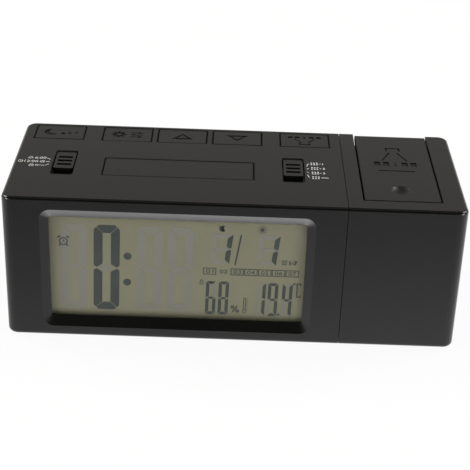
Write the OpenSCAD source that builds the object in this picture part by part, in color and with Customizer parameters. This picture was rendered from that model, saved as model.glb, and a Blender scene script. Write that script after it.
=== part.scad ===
// Projection alarm clock: a low black box with a bevelled display window, a row
// of keys and two slide switches on top, and a projector flap at the right end.
// Millimetres, +X right, +Y back, +Z up, origin under the middle of the box on
// the plane that the feet stand on.

/* [Body] */
// Overall width of the box
body_w = 160; // [150:1:175]
// Depth of the box, front to back
body_d = 64; // [60:1:72]
// Height of the box without its feet
body_h = 55; // [53:1:62]
// Wall thickness of the mouldings
wall = 2; // [1.6:0.1:2.4]
// Thickness of the front wall round the display
front_wall = 2.4; // [2.2:0.1:3]
// Radius of the four upright corners
corner_r = 3.8; // [2.5:0.1:5]
// Radius of the edges round the top
edge_r = 1.3; // [0.6:0.1:1.8]
// Radius of the edges round the underside
base_edge_r = 1.8; // [0.6:0.1:1.9]
// Width of the projector housing at the right end
module_w = 41.3; // [41:0.1:43]
// Width of the joint between the two housings
seam_gap = 0.2; // [0.1:0.05:0.3]
// Width of the notch that the joint makes in the back edge
seam_notch = 1.4; // [0.8:0.1:2]

/* [Display] */
// Width of the display opening
window_w = 89.3; // [84:0.1:90]
// Height of the display opening
window_h = 39.6; // [36:0.1:40]
// Middle of the display, left of the middle of the box
window_off = 19.45; // [18.5:0.05:20.5]
// Width of the bevel at the sides of the opening
bevel_side = 2.9; // [2:0.1:4]
// Width of the bevel above and below the opening
bevel_top = 3.5; // [2:0.1:4]
// Depth of the bevel
bevel_depth = 2; // [1.4:0.1:2.1]
// Corner radius of the bevel at the face
bevel_r = 4; // [2:0.1:5]
// Thickness of the clear display cover
cover_t = 1; // [0.8:0.1:1.2]
// Thickness of the display cell
lcd_t = 2.2; // [1.8:0.1:2.6]
// Thickness of the backlight plate
backlight_t = 3; // [2:0.1:4]

/* [Keys] */
// Width of a key cap
key_w = 17.9; // [16:0.1:18.2]
// Depth of a key cap
key_d = 11.4; // [10:0.1:11.8]
// Gap round a key cap
key_gap = 0.4; // [0.3:0.05:0.5]
// Corner radius of a key cap
key_r = 0.6; // [0.4:0.1:1]
// Travel of a key
key_travel = 0.7; // [0.4:0.1:0.8]
// Middle of the key row, in front of the back of the box
key_back = 8.55; // [8:0.05:9]
// Spacing of the three middle keys
key_pitch = 20.6; // [20.2:0.1:21]
// Spacing from a middle key to the key at its outer side
outer_pitch = 25.3; // [25:0.1:26]
// Middle of the key row, left of the middle of the box
key_off = 20.55; // [20:0.05:21]
// How far the second and third keys sit below the top
key_sink = 0.1; // [0:0.05:0.4]
// Width of the snooze bar
snooze_w = 53.3; // [48:0.1:55]
// Depth of the snooze bar
snooze_d = 13.8; // [12:0.1:14.5]
// Middle of the snooze bar, in front of the middle of the box
snooze_off = 4.85; // [4:0.05:5.5]
// Height of the symbols on the caps
symbol_h = 5.4; // [4:0.1:6]
// Width of the strokes of the symbols
symbol_line = 0.9; // [0.6:0.1:1.1]
// Depth that the symbols are pressed in
symbol_depth = 0.4; // [0.2:0.05:0.5]

/* [Slide switches] */
// Width of a slide switch slot
slot_w = 8.1; // [7:0.1:9]
// Length of a slide switch slot
slot_len = 20; // [19.6:0.1:21]
// Middle of the slots, in front of the middle of the box
slot_off = 2.7; // [2:0.1:3]
// Distance from the left side of the box to the left switch
left_slot_in = 18.25; // [17.5:0.05:19.5]
// Distance from the joint between the housings to the right switch
right_slot_in = 18.2; // [17.2:0.05:19.2]
// Length of a slider knob
knob_len = 13.2; // [12:0.1:13.4]
// Travel of the left slider, three stops
left_travel = 5; // [3:0.5:5]
// Travel of the right slider, four stops
right_travel = 5.4; // [3:0.6:5.4]
// Width of a grip groove in a knob
groove_w = 1.5; // [1:0.1:1.8]
// Spacing of the grip grooves
groove_pitch = 3; // [2.4:0.1:3.4]

/* [Projector flap] */
// Width of the flap
flap_w = 26.4; // [25.5:0.1:26.8]
// Length of the flap, front to back
flap_len = 55.3; // [54:0.1:56]
// Gap round the flap
flap_gap = 0.65; // [0.4:0.05:0.8]
// Thickness of the flap
flap_t = 2.3; // [2:0.1:2.8]
// Distance from the flap's back edge to the back of the box
flap_back = 1.2; // [0.6:0.1:1.6]
// Distance from the right side of the box to the middle of the flap
flap_off = 22.1; // [21.8:0.1:22.4]
// Hinge axis, in front of the back of the box
hinge_back = 5.5; // [5:0.1:6]
// Hinge axis, below the top of the box
hinge_drop = 5.5; // [5.2:0.1:6]
// Radius of the hinge pins
pin_r = 1.5; // [1.2:0.1:1.7]
// Radius of the hinge ears
ear_r = 2.6; // [2.4:0.1:2.9]
// Radial clearance of a turning fit
run_gap = 0.05; // [0.03:0.01:0.08]
// Width of the finger scoop
scoop_w = 6.8; // [5:0.1:8]
// Distance from the front of the box to the front of the scoop
scoop_front = 12.4; // [11:0.1:14]
// Depth of the finger scoop
scoop_depth = 1.1; // [0.8:0.1:1.4]

/* [Projector] */
// Width of the lamp case under the flap
case_w = 22; // [20:0.1:22.4]
// Depth of the lamp case below the flap
case_depth = 19.4; // [19:0.1:20]
// Length of the lamp case
case_len = 36; // [34:0.5:38]
// Wall thickness of the lamp case
case_wall = 1.4; // [1:0.1:1.8]
// Outer radius of the lens barrel
barrel_r = 7; // [6.5:0.1:7.2]
// Wall thickness of the lens barrel
barrel_wall = 1.4; // [1:0.1:1.6]
// Outer radius of the focus ring
ring_r = 8.7; // [8.2:0.1:9]
// Length of the focus ring
ring_len = 5; // [4:0.1:5.4]

/* [Back] */
// Clearance between the covers and their openings
cover_gap = 0.15; // [0.1:0.05:0.3]
// Width of the battery door
door_w = 56; // [54:0.5:60]
// Clearance from the battery door to the floor inside, and to the key board
door_margin = 2.3; // [2:0.1:2.5]
// Thickness of the battery door
door_t = 1.6; // [1.4:0.1:1.9]
// Middle of the battery door, left of the middle of the box
door_off = 24; // [22:0.5:26]
// Diameter of a battery
cell_d = 10.5; // [10:0.1:10.6]
// Length of a battery without its button
cell_len = 43.5; // [42:0.1:44]

/* [Feet] */
// Radius of a foot
foot_r = 4.5; // [3.5:0.1:5.5]
// How far the feet stand out below the box
foot_proud = 0.8; // [0.5:0.1:1.5]
// How deep the feet are let into the box
foot_sunk = 0.8; // [0.5:0.1:1]
// Distance from the sides of the box to the middle of a foot
foot_inset = 10.5; // [9:0.5:14]

/* [Hidden] */
$fn = 64;
eps = 0.02;

// Colours
shell_colour = "#3a3938";
cap_colour = "#41403f";
board_colour = "#2f6b45";
steel_colour = "#b9bcc0";
white_colour = "#e8e8e2";

// Planes of the box
base_z = foot_proud;
top_z = base_z + body_h;
roof_z = top_z - wall;
floor_z = base_z + wall;
front_y = -body_d / 2;
back_y = body_d / 2;
left_x = -body_w / 2;
right_x = body_w / 2;
inner_front_y = front_y + front_wall;
cover_y = back_y - wall;
seam_x = right_x - module_w;
main_end_x = seam_x - seam_gap / 2;
module_end_x = seam_x + seam_gap / 2;
end_wall_x = main_end_x - wall;

// Display stack, from the front wall backwards
window_x = -window_off;
window_z = base_z + body_h / 2;
cell_border = 2.4;
ledge_h = 1.9;
seal_h = 0.9;
lcd_w = window_w + 2 * cell_border;
lcd_h = window_h + cell_border + ledge_h + seal_h;
lcd_top_z = window_z + window_h / 2 + cell_border;
lcd_z = lcd_top_z - lcd_h;
cell_air = 0.15;
lcd_y = inner_front_y + cover_t + cell_air;
backlight_y = lcd_y + lcd_t;
board_t = 1.6;
frame_rim = 1.6;
frame_lip = 1.2;
frame_back_y = backlight_y + backlight_t + frame_lip;
main_board_y = frame_back_y;
fit = 0.1;
chip_r = 7;

// Keys: the five caps, then what lies under them
key_y = back_y - key_back;
key_x0 = -key_off;
KEY_X = [
    key_x0 - key_pitch - outer_pitch, key_x0 - key_pitch, key_x0,
    key_x0 + key_pitch, key_x0 + key_pitch + outer_pitch
];
snooze_y = -snooze_off;
flange_t = 0.9;
flange_reach = 0.8;
lift_gap = 0.05;
flange_z = roof_z - lift_gap - flange_t;
tact_size = 6;
tact_h = 3.4;
tact_button_h = 0.8;
tact_button_r = 1.7;
plunger_r = 1.6;
plunger_h = 0.9;
plunger_z = flange_z - plunger_h;
board_top_z = plunger_z - key_travel - lift_gap - tact_button_h - tact_h;
board_z = board_top_z - board_t;
snooze_tact_x = snooze_w / 2 - 8;
post_r = 2.4;
pilot_r = 0.9;
post_back = key_y - key_d / 2 - 6;
post_side = key_pitch + 0.4 * outer_pitch;
POSTS = [
    [key_x0 - post_side, post_back], [key_x0, post_back],
    [key_x0 + post_side, post_back], [key_x0, snooze_y - snooze_d / 2 - 4]
];

// Slide switches
slot_y = -slot_off;
left_slot_x = left_x + left_slot_in;
right_slot_x = seam_x - right_slot_in;
slot_r = 1;
knob_w = slot_w - 1.1;
knob_rear = 1.2;
knob_y = slot_y + slot_len / 2 - knob_rear - knob_len / 2;
slider_plate_w = slot_w + 2.4;
slider_plate_t = 0.9;
slider_plate_z = roof_z - 0.1 - slider_plate_t;
stem_w = 2;
can_w = 5;
can_wall = 0.5;
can_top_z = slider_plate_z - 0.6;
can_end = 2.5;

// Projector flap and its bay
flap_x = right_x - flap_off;
flap_y1 = back_y - flap_back;
flap_y0 = flap_y1 - flap_len;
flap_z = top_z - flap_t;
bay_w = flap_w + 2 * flap_gap;
bay_wall = 1.8;
bay_x0 = flap_x - bay_w / 2;
bay_x1 = flap_x + bay_w / 2;
bay_y0 = flap_y0 - flap_gap;
bay_room = 2.2;
hinge_y = back_y - hinge_back;
hinge_z = top_z - hinge_drop;
tail_reach = sqrt(pow(hinge_y - flap_y1, 2) + pow(hinge_drop, 2));
ear_t = 3;
ear_slip = 0.25;
pin_boss_r = pin_r + 1.7;
pin_boss_len = 1.4;
skirt_t = 1.2;
skirt_h = 1.8;

// Lamp case and optics, all on the barrel's axis
barrel_z = flap_z - case_depth / 2 - 0.2;
case_y1 = hinge_y - 4.5;
case_y0 = case_y1 - case_len;
case_r = 7;
bore_r = barrel_r - barrel_wall;
barrel_lip = 0.6;
barrel_y0 = case_y0 - ring_len - 0.5 - barrel_lip;
barrel_y1 = case_y0 + 13;
slide_t = 1.1;
tube_y0 = barrel_y1 + slide_t;
tube_len = 12;
led_board_y = tube_y0 + tube_len;
bay_floor_z = flap_z - case_depth - bay_room;

// Back cover: battery box, door and screws
cover_w = main_end_x - left_x - 2 * wall - 2 * cover_gap;
cover_x = (left_x + main_end_x) / 2;
cover_h = body_h - 2 * wall - 2 * cover_gap;
cover_z = floor_z + cover_gap;
door_x = -door_off;
door_z = floor_z + door_margin;
door_h = board_z - door_margin - door_z;
door_hinge_z = door_z + door_t / 2;
door_y = back_y - door_t;
contact_t = 0.4;
cell_button = 1;
cell_pitch = cell_d + 0.5;
spring_len = 4;
box_w = cell_len + cell_button + spring_len + 2 * contact_t;
box_h = 3 * cell_pitch + 0.6;
box_d = cell_d + 1.6;
box_wall = 1.4;
box_z = door_z + (door_h - box_h) / 2;
box_y = door_y - box_d;
screw_r = 1.3;
head_r = 2.6;
screw_len = 9;
boss_r = 3;
boss_len = 14;
screw_inset = boss_r + 0.6;
screw_low_z = base_z + 7;
screw_high_z = top_z - 16.5;
COVER_SCREWS = [
    for (x = [left_x + wall + screw_inset, end_wall_x - screw_inset], z = [screw_low_z, screw_high_z]) [x, z]
];
module_screw_y = 12;
module_screw_low_z = floor_z + 5;
module_screw_high_z = roof_z - 12;
MODULE_SCREWS = [
    [-module_screw_y, module_screw_low_z], [module_screw_y, module_screw_low_z],
    [-module_screw_y, module_screw_high_z]
];
pillar_len = 10;
FEET = [for (x = [-1, 1], y = [-1, 1]) [x * (right_x - foot_inset), y * (back_y - foot_inset)]];
buzzer_r = 10;
buzzer_ring = 1.4;
buzzer_x = end_wall_x - 18.1;
buzzer_z = board_z - buzzer_r - buzzer_ring - 1.2;
socket_w = 8;
socket_h = 3.2;
socket_x = end_wall_x - 16.6;
socket_z = base_z + 12;
sensor_x = left_x + 14;
sensor_z = (screw_low_z + screw_high_z) / 2;
vent_w = 1.2;

// ---------- shared shapes ----------

// A rectangle with round corners, round the origin
module round_rect(w, d, r) {
    square([w - 2 * r, d], center = true);
    square([w, d - 2 * r], center = true);
    for (sx = [-1, 1], sy = [-1, 1])
        translate([sx * (w / 2 - r), sy * (d / 2 - r)])
            circle(r);
}

// A plate of that outline, standing on z
module plate(w, d, h, r, z = 0) {
    translate([0, 0, z])
        linear_extrude(h)
            round_rect(w, d, r);
}

// A profile drawn in Y and Z, run from x0 to x1
module along_x(x0, x1) {
    translate([x0, 0, 0])
        rotate([90, 0, 90])
            linear_extrude(x1 - x0)
                children();
}

// A profile drawn in X and Z, run from y0 to y1
module along_y(y0, y1) {
    translate([0, y1, 0])
        rotate([90, 0, 0])
            linear_extrude(y1 - y0)
                children();
}

// A round bar from y0 to y1, its axis at x and z
module bar_y(r, y0, y1, x = 0, z = 0) {
    translate([x, y1, z])
        rotate([90, 0, 0])
            cylinder(r = r, h = y1 - y0);
}

// A round bar from x0 to x1, its axis at y and z
module bar_x(r, x0, x1, y = 0, z = 0) {
    translate([x0, y, z])
        rotate([0, 90, 0])
            cylinder(r = r, h = x1 - x0);
}

// Half of the section of a round cap: radius r at its base, h high
module cap_section(r, h) {
    ball_r = (r * r + h * h) / (2 * h);
    intersection() {
        translate([0, h - ball_r])
            circle(ball_r);
        square([r, h]);
    }
}

// Block between two corners
module block(a, b) {
    translate(a)
        cube(b - a);
}

// Outer quarter of the box's section: from the middle out to w, rounded at the
// top and at the underside
module side_section(w) {
    difference() {
        square([w, body_h]);
        translate([w - edge_r, body_h - edge_r])
            difference() {
                square(edge_r + eps);
                circle(edge_r);
            }
        translate([w - base_edge_r, 0])
            difference() {
                translate([0, -eps])
                    square([base_edge_r + eps, base_edge_r + eps]);
                translate([0, base_edge_r])
                    circle(base_edge_r);
            }
    }
}

// The whole outside of the clock: round corners, softened top and bottom edges
module outer_form() {
    x = right_x - corner_r;
    y = back_y - corner_r;
    translate([0, 0, base_z]) {
        along_x(-x, x) {
            side_section(back_y);
            mirror([1, 0])
                side_section(back_y);
        }
        for (s = [0, 1])
            mirror([s, 0, 0])
                translate([x, 0, 0])
                    along_y(-y, y)
                        side_section(corner_r);
        for (sx = [0, 1], sy = [0, 1])
            mirror([sx, 0, 0])
                mirror([0, sy, 0])
                    translate([x, y, 0])
                        rotate_extrude(angle = 90)
                            side_section(corner_r);
    }
}

// The room inside the walls, from x0 to x1 and back to y1
module inner_room(x0, x1, y1) {
    r = corner_r - wall;
    w = body_w - 2 * wall;
    d = body_d - wall - front_wall;
    intersection() {
        translate([0, (front_wall - wall) / 2, floor_z])
            linear_extrude(roof_z - floor_z)
                round_rect(w, d, r);
        block([x0, front_y, base_z], [x1, y1, top_z]);
    }
}

// ---------- front housing ----------

// Bevelled opening for the display
module window_cut() {
    translate([window_x, front_y, window_z])
        rotate([-90, 0, 0]) {
            hull() {
                translate([0, 0, -eps])
                    linear_extrude(eps)
                        round_rect(window_w + 2 * bevel_side, window_h + 2 * bevel_top, bevel_r);
                translate([0, 0, bevel_depth])
                    linear_extrude(eps)
                        round_rect(window_w, window_h, bevel_r - bevel_side + 0.2);
            }
            linear_extrude(front_wall + 1)
                square([window_w, window_h], center = true);
        }
}

// Holes in the top for the keys, the snooze bar and the sliders
module top_cuts() {
    h = wall + 1;
    for (x = KEY_X)
        translate([x, key_y, roof_z - 0.5])
            plate(key_w + 2 * key_gap, key_d + 2 * key_gap, h, key_r);
    translate([key_x0, snooze_y, roof_z - 0.5])
        plate(snooze_w + 2 * key_gap, snooze_d + 2 * key_gap, h, key_r);
    for (x = [left_slot_x, right_slot_x])
        translate([x, slot_y, roof_z - 0.5])
            plate(slot_w, slot_len, h, slot_r);
}

// V groove where the two housings meet at the back
module seam_groove() {
    translate([seam_x, back_y, base_z - 1])
        rotate([0, 0, 45])
            translate([-seam_notch / sqrt(8), -seam_notch / sqrt(8), 0])
                cube([seam_notch / sqrt(2), seam_notch / sqrt(2), body_h + 2]);
}

// Recesses for the feet
module foot_cuts() {
    for (p = FEET)
        translate([p.x, p.y, base_z - 1])
            cylinder(r = foot_r + fit, h = foot_sunk + 1);
}

// Bosses that the back cover is screwed to
module cover_bosses() {
    for (p = COVER_SCREWS) {
        side = p.x < cover_x ? -1 : 1;
        difference() {
            union() {
                bar_y(boss_r, cover_y - boss_len, cover_y, p.x, p.y);
                block([min(p.x, p.x + side * 4), cover_y - boss_len, p.y - boss_r / 2],
                      [max(p.x, p.x + side * 4), cover_y, p.y + boss_r / 2]);
            }
            bar_y(screw_r, cover_y - screw_len - 1, cover_y + 1, p.x, p.y);
        }
    }
}

// Posts under the top that carry the key board
module key_posts() {
    for (p = POSTS)
        translate([p.x, p.y, 0])
            difference() {
                translate([0, 0, board_top_z])
                    cylinder(r = post_r, h = roof_z - board_top_z + eps);
                translate([0, 0, board_top_z - 1])
                    cylinder(r = pilot_r, h = 5.5);
            }
}

// Pegs behind the front wall that carry the display frame
frame_w = lcd_w + 2 * (frame_rim + fit);
frame_peg_r = 2;
frame_peg_x = lcd_w / 2 + fit + frame_peg_r;
frame_peg_inset = 6;
main_board_z = floor_z + 0.6;
main_board_top_z = board_z - board_t;
FRAME_PEGS = [
    for (s = [-1, 1], z = [main_board_z + frame_peg_inset, main_board_top_z - frame_peg_inset])
        [window_x + s * frame_peg_x, z]
];
module frame_pegs() {
    for (p = FRAME_PEGS)
        difference() {
            bar_y(frame_peg_r, inner_front_y - eps, frame_back_y - frame_lip - board_t, p.x, p.y);
            bar_y(pilot_r, frame_back_y - frame_lip - board_t - 5, frame_back_y, p.x, p.y);
        }
}

module front_housing() {
    color(shell_colour)
        difference() {
            union() {
                difference() {
                    intersection() {
                        outer_form();
                        block([left_x - 1, front_y - 1, 0], [main_end_x, back_y + 1, top_z + 1]);
                    }
                    inner_room(left_x, end_wall_x, back_y + 1);
                    block([left_x + wall, cover_y - 5, floor_z], [end_wall_x, back_y + 1, roof_z]);
                }
                cover_bosses();
                key_posts();
                frame_pegs();
            }
            window_cut();
            top_cuts();
            foot_cuts();
            seam_groove();
            // Way through for the projector's wires, and its screws
            bar_x(4, end_wall_x - 1, main_end_x + 1, 6, base_z + 20);
            for (p = MODULE_SCREWS)
                bar_x(screw_r + 0.2, end_wall_x - 1, main_end_x + 1, p.x, p.y);
        }
}

// ---------- projector housing ----------

// The tub that the projector folds into
module bay_tub() {
    x0 = bay_x0 - bay_wall;
    x1 = bay_x1 + bay_wall;
    block([x0, bay_y0 - bay_wall, bay_floor_z - bay_wall], [x1, cover_y + eps, roof_z + eps]);
    bar_x(pin_boss_r, x0 - pin_boss_len, x0 + eps, hinge_y, hinge_z);
    bar_x(pin_boss_r, x1 - eps, x1 + pin_boss_len, hinge_y, hinge_z);
}

module bay_cut() {
    block([bay_x0, bay_y0, bay_floor_z], [bay_x1, cover_y, top_z + 1]);
    // The flap's tail swings down through the back wall here
    block([bay_x0, cover_y - 1, hinge_z - tail_reach - 0.4], [bay_x1, back_y + 1, top_z + 1]);
    bar_x(pin_r, bay_x0 - bay_wall - pin_boss_len - 1, bay_x1 + bay_wall + pin_boss_len + 1,
          hinge_y, hinge_z);
}

// Pillars that the screws through the main housing's end wall bite into: two
// stand on the floor, the third meets the tub's wall
module module_pillars() {
    for (p = MODULE_SCREWS) {
        low = p.y < bay_floor_z - bay_wall - boss_r;
        x1 = low ? module_end_x + pillar_len : bay_x0 - bay_wall + eps;
        difference() {
            union() {
                bar_x(boss_r, module_end_x, x1, p.x, p.y);
                if (low)
                    block([module_end_x, p.x - boss_r / 2, floor_z - eps], [x1, p.x + boss_r / 2, p.y]);
            }
            bar_x(screw_r, module_end_x - 1, x1 - 1, p.x, p.y);
        }
    }
}

module projector_housing() {
    color(shell_colour)
        difference() {
            union() {
                difference() {
                    intersection() {
                        outer_form();
                        block([module_end_x, front_y - 1, 0], [right_x + 1, back_y + 1, top_z + 1]);
                    }
                    inner_room(seam_x - 1, right_x, cover_y);
                }
                bay_tub();
                module_pillars();
                // Low ribs that stand the tub on the floor
                for (x = [flap_x - 9, flap_x + 9])
                    block([x - 0.8, -20, floor_z - eps], [x + 0.8, 20, bay_floor_z - bay_wall + eps]);
            }
            bay_cut();
            foot_cuts();
            seam_groove();
        }
}

// ---------- back ----------

// Five round-ended slots in front of the buzzer
module sound_slots() {
    for (i = [-2:2])
        translate([buzzer_x + i * 2.8, back_y + 1, buzzer_z])
            rotate([90, 0, 0])
                plate(vent_w, 11 - 1.6 * abs(i), wall + 2, vent_w / 2 - eps);
}

module sensor_vents() {
    for (i = [-2:2])
        translate([sensor_x, back_y + 1, sensor_z + i * 3])
            rotate([90, 0, 0])
                plate(9, vent_w, wall + 2, vent_w / 2 - eps);
}

module battery_box() {
    difference() {
        block([door_x - box_w / 2 - box_wall, box_y - box_wall, box_z - box_wall],
              [door_x + box_w / 2 + box_wall, cover_y + eps, box_z + box_h + box_wall]);
        block([door_x - box_w / 2, box_y, box_z],
              [door_x + box_w / 2, back_y, box_z + box_h]);
    }
    // Low walls that keep the cells apart
    for (i = [1, 2])
        block([door_x - cell_len / 2 + 6, box_y - eps, box_z + i * cell_pitch + 0.3 - 0.25],
              [door_x + cell_len / 2 - 6, box_y + 2.4, box_z + i * cell_pitch + 0.3 + 0.25]);
}

// Room for the door, its two hooks and its catch
hook_w = 6;
hook_drop = 1.4;
hook_t = 0.9;
hook_y = door_y - 1.2;
grip_w = 9;
module door_cut() {
    block([door_x - door_w / 2 - cover_gap, door_y, door_z - cover_gap],
          [door_x + door_w / 2 + cover_gap, back_y + 1, door_z + door_h + cover_gap]);
    block([door_x - box_w / 2, cover_y - 1, box_z], [door_x + box_w / 2, back_y, box_z + box_h]);
    for (s = [-1, 1])
        block([door_x + s * door_w / 4 - hook_w / 2 - 0.5, cover_y - 3.4, door_z - hook_drop - 0.6],
              [door_x + s * door_w / 4 + hook_w / 2 + 0.5, door_y + eps, door_hinge_z + 1.4]);
    // Thumb dip over the catch
    translate([door_x, back_y + 3.2, door_z + door_h + 1.2])
        sphere(r = 4.6);
}

module rear_cover() {
    color(shell_colour)
        difference() {
            union() {
                translate([cover_x, back_y, cover_z + cover_h / 2])
                    rotate([90, 0, 0])
                        linear_extrude(wall)
                            round_rect(cover_w, cover_h, 0.8);
                battery_box();
                // Ring that seats the buzzer
                difference() {
                    bar_y(buzzer_r + buzzer_ring, cover_y - 2.2, cover_y + eps, buzzer_x, buzzer_z);
                    bar_y(buzzer_r + fit, cover_y - 3, cover_y, buzzer_x, buzzer_z);
                }
            }
            door_cut();
            sound_slots();
            sensor_vents();
            block([socket_x - socket_w / 2 - fit, cover_y - 1, socket_z - socket_h / 2 - fit],
                  [socket_x + socket_w / 2 + fit, back_y + 1, socket_z + socket_h / 2 + fit]);
            for (p = COVER_SCREWS) {
                bar_y(screw_r + 0.2, cover_y - 1, back_y + 1, p.x, p.y);
                bar_y(head_r + 0.2, back_y - 1.2, back_y + 1, p.x, p.y);
            }
        }
}

module battery_door() {
    color(shell_colour)
        difference() {
            union() {
                // Panel, round along its foot so that it can swing
                along_x(door_x - door_w / 2, door_x + door_w / 2)
                    union() {
                        translate([door_y, door_hinge_z])
                            square([door_t, door_h - door_t / 2]);
                        translate([door_y + door_t / 2, door_hinge_z])
                            circle(door_t / 2);
                    }
                // Hooks that reach down behind the sill
                for (s = [-1, 1]) {
                    x0 = door_x + s * door_w / 4 - hook_w / 2;
                    block([x0, hook_y, door_z], [x0 + hook_w, door_y + eps, door_z + 1.4]);
                    block([x0, hook_y, door_z - hook_drop], [x0 + hook_w, hook_y + hook_t, door_z + 1.4]);
                }
            }
            // Grip ribs by the catch
            for (i = [0:2])
                block([door_x - grip_w / 2, back_y - 0.4, door_z + door_h - 2 - i * 1.6 - 0.8],
                      [door_x + grip_w / 2, back_y + 1, door_z + door_h - 2 - i * 1.6]);
        }
}

module cover_screws() {
    color(steel_colour)
        for (p = COVER_SCREWS)
            difference() {
                union() {
                    bar_y(screw_r, cover_y - screw_len, back_y - 1.2, p.x, p.y);
                    bar_y(head_r, back_y - 1.2, back_y - 0.1, p.x, p.y);
                }
                for (a = [0, 90])
                    translate([p.x, back_y, p.y])
                        rotate([0, a, 0])
                            cube([0.6, 1.4, 2.6], center = true);
            }
}

module module_screws() {
    color(steel_colour)
        for (p = MODULE_SCREWS) {
            bar_x(screw_r, end_wall_x, bay_x0 - bay_wall - 1.2, p.x, p.y);
            bar_x(head_r, end_wall_x - 1.2, end_wall_x, p.x, p.y);
        }
}

module rubber_feet() {
    color("#1c1c1c")
        for (p = FEET)
            translate([p.x, p.y, 0])
                cylinder(r = foot_r, h = foot_proud + foot_sunk);
}

// ---------- display ----------

module display_cover() {
    color("#dfe6e8", 0.3)
        translate([window_x, inner_front_y, (lcd_z + lcd_top_z) / 2])
            rotate([-90, 0, 0])
                linear_extrude(cover_t)
                    round_rect(lcd_w, lcd_h, 0.6);
}

module lcd_panel() {
    // Front glass with its shorter back glass, which leaves the contact ledge bare
    color("#8f8d78") {
        block([window_x - lcd_w / 2, lcd_y, lcd_z], [window_x + lcd_w / 2, lcd_y + lcd_t / 2, lcd_top_z]);
        block([window_x - lcd_w / 2, lcd_y + lcd_t / 2, lcd_z + ledge_h],
              [window_x + lcd_w / 2, lcd_y + lcd_t, lcd_top_z]);
    }
}

module backlight() {
    color(white_colour)
        difference() {
            block([window_x - lcd_w / 2, backlight_y, lcd_z + ledge_h],
                  [window_x + lcd_w / 2, backlight_y + backlight_t, lcd_top_z]);
            // Pockets for the light-emitting diodes along one end
            for (i = [-1:1])
                block([window_x - lcd_w / 2 - 1, backlight_y + 0.6, window_z + i * 12 - 1.6],
                      [window_x - lcd_w / 2 + 1.4, backlight_y + backlight_t - 0.6, window_z + i * 12 + 1.6]);
        }
}

module lcd_frame() {
    z0 = lcd_z - fit - frame_rim;
    z1 = lcd_top_z + fit + frame_rim;
    x0 = window_x - frame_w / 2;
    x1 = window_x + frame_w / 2;
    y0 = inner_front_y;
    color(white_colour)
        difference() {
            union() {
                block([x0, y0, max(z0, floor_z + 0.1)], [x1, frame_back_y, min(z1, roof_z - 0.1)]);
                for (p = FRAME_PEGS)
                    bar_y(pilot_r * 2, frame_back_y - frame_lip - board_t, frame_back_y, p.x, p.y);
            }
            // Notches in its sides for the pegs that carry it
            for (p = FRAME_PEGS)
                bar_y(frame_peg_r + fit, y0 - 1, frame_back_y - frame_lip - board_t, p.x, p.y);
            block([x0 + frame_rim, y0 - 1, lcd_z - fit],
                  [x1 - frame_rim, frame_back_y - frame_lip, lcd_top_z + fit]);
            // Window in the back lip, and the slit for the contact strip
            block([x0 + frame_rim + 6, y0, lcd_z + ledge_h + 4],
                  [x1 - frame_rim - 6, frame_back_y + 1, lcd_top_z - 4]);
            block([x0 + frame_rim + 2, y0, lcd_z],
                  [x1 - frame_rim - 2, frame_back_y + 1, lcd_z + ledge_h - 0.2]);
            for (p = FRAME_PEGS)
                bar_y(pilot_r + 0.2, frame_back_y - 8, frame_back_y + 1, p.x, p.y);
        }
}

module contact_strip() {
    color("#2b2b30")
        block([window_x - lcd_w / 2 + 3, lcd_y + lcd_t / 2, lcd_z + 0.3],
              [window_x + lcd_w / 2 - 3, main_board_y, lcd_z + ledge_h - 0.4]);
}

module main_board() {
    x0 = window_x - frame_w / 2 - 3.2;
    x1 = window_x + frame_w / 2 + 3.2;
    color(board_colour)
        difference() {
            block([max(x0, left_x + wall + 0.5), main_board_y, main_board_z],
                  [min(x1, end_wall_x - 0.5), main_board_y + board_t, main_board_top_z]);
            for (p = FRAME_PEGS)
                bar_y(pilot_r + 0.2, main_board_y - 1, main_board_y + board_t + 1, p.x, p.y);
        }
}

module board_screws() {
    color(steel_colour)
        for (p = FRAME_PEGS) {
            bar_y(pilot_r, main_board_y - 7, main_board_y + board_t, p.x, p.y);
            bar_y(pilot_r * 2, main_board_y + board_t, main_board_y + board_t + 1, p.x, p.y);
        }
}

module controller_chip() {
    // A dome of black resin over the chip
    dome_h = 1.9;
    color("#151515")
        translate([window_x - 14, main_board_y + board_t, window_z])
            rotate([-90, 0, 0])
                rotate_extrude($fn = 128)
                    cap_section(chip_r, dome_h);
}

module ribbon_cable() {
    // Flat lead, down from the key board and forward to the main board
    w = 16;
    t = 0.4;
    bend = 3;
    y0 = main_board_y + board_t;
    y1 = y0 + 10;
    z0 = window_z - 8;
    color("#cfcfc6")
        along_x(window_x + 16, window_x + 16 + w)
            union() {
                translate([y1 - t, z0 + bend])
                    square([t, board_z - z0 - bend]);
                translate([y1 - bend, z0 + bend])
                    difference() {
                        intersection() {
                            circle(bend);
                            translate([0, -bend])
                                square(bend);
                        }
                        circle(bend - t);
                    }
                translate([y0, z0])
                    square([y1 - bend - y0, t]);
            }
}

// ---------- keys ----------

module key_board() {
    x0 = left_x + wall + 1;
    x1 = end_wall_x - 1;
    y0 = POSTS[3].y - post_r - 0.7;
    color(board_colour)
        difference() {
            block([x0, y0, board_z], [x1, cover_y - 0.6, board_top_z]);
            for (p = POSTS)
                translate([p.x, p.y, board_z - 1])
                    cylinder(r = pilot_r + 0.2, h = board_t + 2);
        }
}

module key_board_screws() {
    color(steel_colour)
        for (p = POSTS)
            translate([p.x, p.y, 0]) {
                translate([0, 0, board_z])
                    cylinder(r = pilot_r, h = board_t + 4);
                translate([0, 0, board_z - 1])
                    cylinder(r = pilot_r * 2, h = 1);
            }
}

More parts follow.
